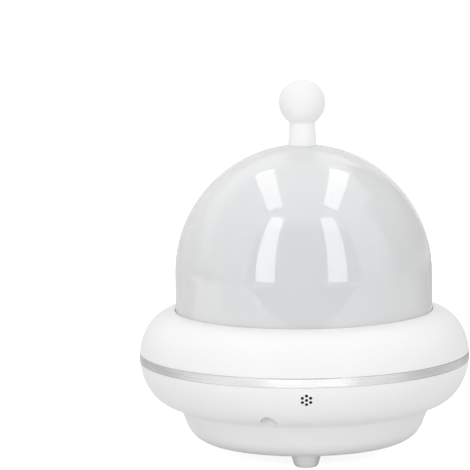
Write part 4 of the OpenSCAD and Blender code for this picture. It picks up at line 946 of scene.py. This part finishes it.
def floor(tone, lift, mirrored_lift):
    """A pale floor that keeps the object's shadow, shows as white, and is open from below."""
    floor_r, fall_y, fall = 8, 0.12, 0.09
    painted_shadow_r, painted_shadow_tone = (0.038, 0.052), 0.66
    outer_r, outer_tone = (0.07, 0.1), 0.945
    patch_scale, patch_depth = 40, 0.01
    bm = bmesh.new()
    bmesh.ops.create_circle(bm, cap_ends=True, segments=96, radius=floor_r)
    plane = add_object("floor", bm)
    material = bare_material("floor")
    tree = material.node_tree
    place = object_place(tree)
    radius = linked(tree, "ShaderNodeVectorMath", {0: place}, operation="LENGTH").outputs["Value"]
    # Painted shadow right under the object; darker towards the back and slightly darker beyond the
    # object's rim, which bounces less light onto the housing
    grey = ramp(tree, axis_of(tree, place, "Y"), tone, tone - fall, span=(-fall_y, fall_y))
    grey = maths(tree, "MULTIPLY", grey, ramp(tree, radius, painted_shadow_tone, 1, span=painted_shadow_r))
    grey = maths(tree, "MULTIPLY", grey, ramp(tree, radius, 1, outer_tone, span=outer_r))
    grey = maths(tree, "ADD", grey, spread(tree, noise(tree, patch_scale), -patch_depth, patch_depth))
    colour = linked(tree, "ShaderNodeCombineColor", {"Red": grey, "Green": grey, "Blue": grey})
    matt = linked(tree, "ShaderNodeBsdfDiffuse", {"Color": colour.outputs["Color"]}).outputs["BSDF"]
    glow = linked(tree, "ShaderNodeEmission", {"Strength": lift}).outputs["Emission"]
    lifted = linked(tree, "ShaderNodeAddShader", {0: matt, 1: glow}).outputs["Shader"]
    clear = linked(tree, "ShaderNodeBsdfTransparent").outputs["BSDF"]
    below = linked(tree, "ShaderNodeNewGeometry").outputs["Backfacing"]
    from_camera = linked(tree, "ShaderNodeMixShader", {0: below, 1: lifted, 2: clear}).outputs["Shader"]
    mirrored = light_path(tree, "Is Glossy Ray", "Is Transmission Ray")
    faint = maths(tree, "MULTIPLY", mirrored, mirrored_lift)
    faint_glow = linked(tree, "ShaderNodeEmission", {"Strength": faint}).outputs["Emission"]
    in_mirrors = linked(tree, "ShaderNodeAddShader", {0: matt, 1: faint_glow}).outputs["Shader"]
    camera_ray = light_path(tree, "Is Camera Ray")
    shown = linked(tree, "ShaderNodeMixShader", {0: camera_ray, 1: in_mirrors, 2: from_camera})
    tree.links.new(shown.outputs["Shader"], tree.nodes["Material Output"].inputs["Surface"])
    plane.data.materials.append(material)


def lamps():
    """Two tall softboxes in front and two tilted strips overhead, as the dome's reflections show them."""
    box_distance, box_w, box_bottom, box_top = 1.2, 0.365, 0.06, 1.79
    box_h, box_z = box_top - box_bottom, (box_bottom + box_top) / 2
    # Direction from straight ahead and lean, in degrees, and radiance
    boxes = (("front_left", -35.3, 1.8, 2.06), ("front_right", 30.9, -2.9, 1.76))
    for name, angle, lean, radiance in boxes:
        turn = math.radians(angle)
        place = (box_distance * math.sin(turn), -box_distance * math.cos(turn), box_z)
        softbox(name, box_w, box_h, place, (0, 0, box_z), radiance, math.radians(lean))
    strip_l, strip_w = 1.345, 0.313
    strip_x, strip_y, strip_z, strip_aim_x = 0.554, 0.17, 1.472, -0.4
    for name, side, radiance in (("over_left", -1, 1.48), ("over_right", 1, 1.63)):
        place = (side * strip_x, strip_y, strip_z)
        softbox(name, strip_l, strip_w, place, (side * strip_aim_x, strip_y, DOME_MID_Z), radiance)


def low_cards():
    """Panels just above the floor, for the table that the ring, the dome and the shells reflect."""
    sheen_in, sheen_out, sheen_z, quarter = 0.2, 0.4, 0.5 * MM, math.pi / 2
    left_half = annulus(sheen_in, sheen_out, sheen_z, quarter, 3 * quarter)
    right_half = annulus(sheen_in, sheen_out, sheen_z, -quarter, quarter)
    card("left_sheen", left_half, 2.0, far_radiance=0.92, fade=(-0.27, 0.10))
    card("right_sheen", right_half, 1.75, far_radiance=1.05, fade=(-0.24, -0.05))
    card("table_sheen", [level(left=-0.128, right=0.155, near=-0.385, far=-0.24, z=1 * MM)], 2.65)
    card("table_end", [level(left=-0.55, right=0.55, near=-1.3, far=-0.43, z=0.5 * MM)], 0.4)
    card("side_sheen", [level(left=-0.9, right=-0.36, near=-0.15, far=0.3, z=0.3 * MM)], 1.25)
    card("rear_floor", [level(left=-0.6, right=0.6, near=0.16, far=0.9, z=0.7 * MM)], 0.75)
    right_rear = level(left=0.1, right=1.4, near=0.21, far=2.39, z=0.9 * MM)
    card("right_rear_floor", [right_rear], 0.5, far_radiance=0.7, fade=(0.4, 1.2))


def tall_cards():
    """Walls, flags and the ceiling, which the dome and the knob reflect."""
    ceiling = level(left=-8, right=8, near=-0.05, far=8, z=DOME_MID_Z + 1.6)
    card("ceiling_bounce", [ceiling], 0.95, far_radiance=1.2, fade=(0.6, 1.3))
    card("grey_flag", [upright((1.1, -0.06), (1.1, 3.0), bottom=0.05, top=1.2)], 0.5)
    card("rear_flag", [upright((1.1, 0.65), (0.75, 1.6), bottom=0.6, top=2.0)], 0.5)
    card("back_wall", [upright((-5, 2.4), (5, 2.4), bottom=0, top=1.9)], 0.8)
    card("room", [upright((-3, -2.4), (3, -2.4), bottom=0, top=3)], 0.45)


def studio():
    """The photographer's lamps, room and floor."""
    lamps()
    low_cards()
    tall_cards()
    surroundings(horizon=0.76, zenith=0.62, backdrop=0.95)
    floor(tone=0.84, lift=0.88, mirrored_lift=0.215)
    bpy.context.scene.view_settings.view_transform = "Standard"


# ---------- Assembly ----------

paint_nodes()
tint_small_parts()
upper_housing()
lower_housing()
light_ring()
for node, angle in (("front_foot", -90), ("left_foot", 150), ("right_foot", 30)):
    foot(node, angle)
dome_cover()
ball_knob()
push_button("left_button", -BUTTON_X)
push_button("right_button", BUTTON_X)
power_slider()
camera()
studio()
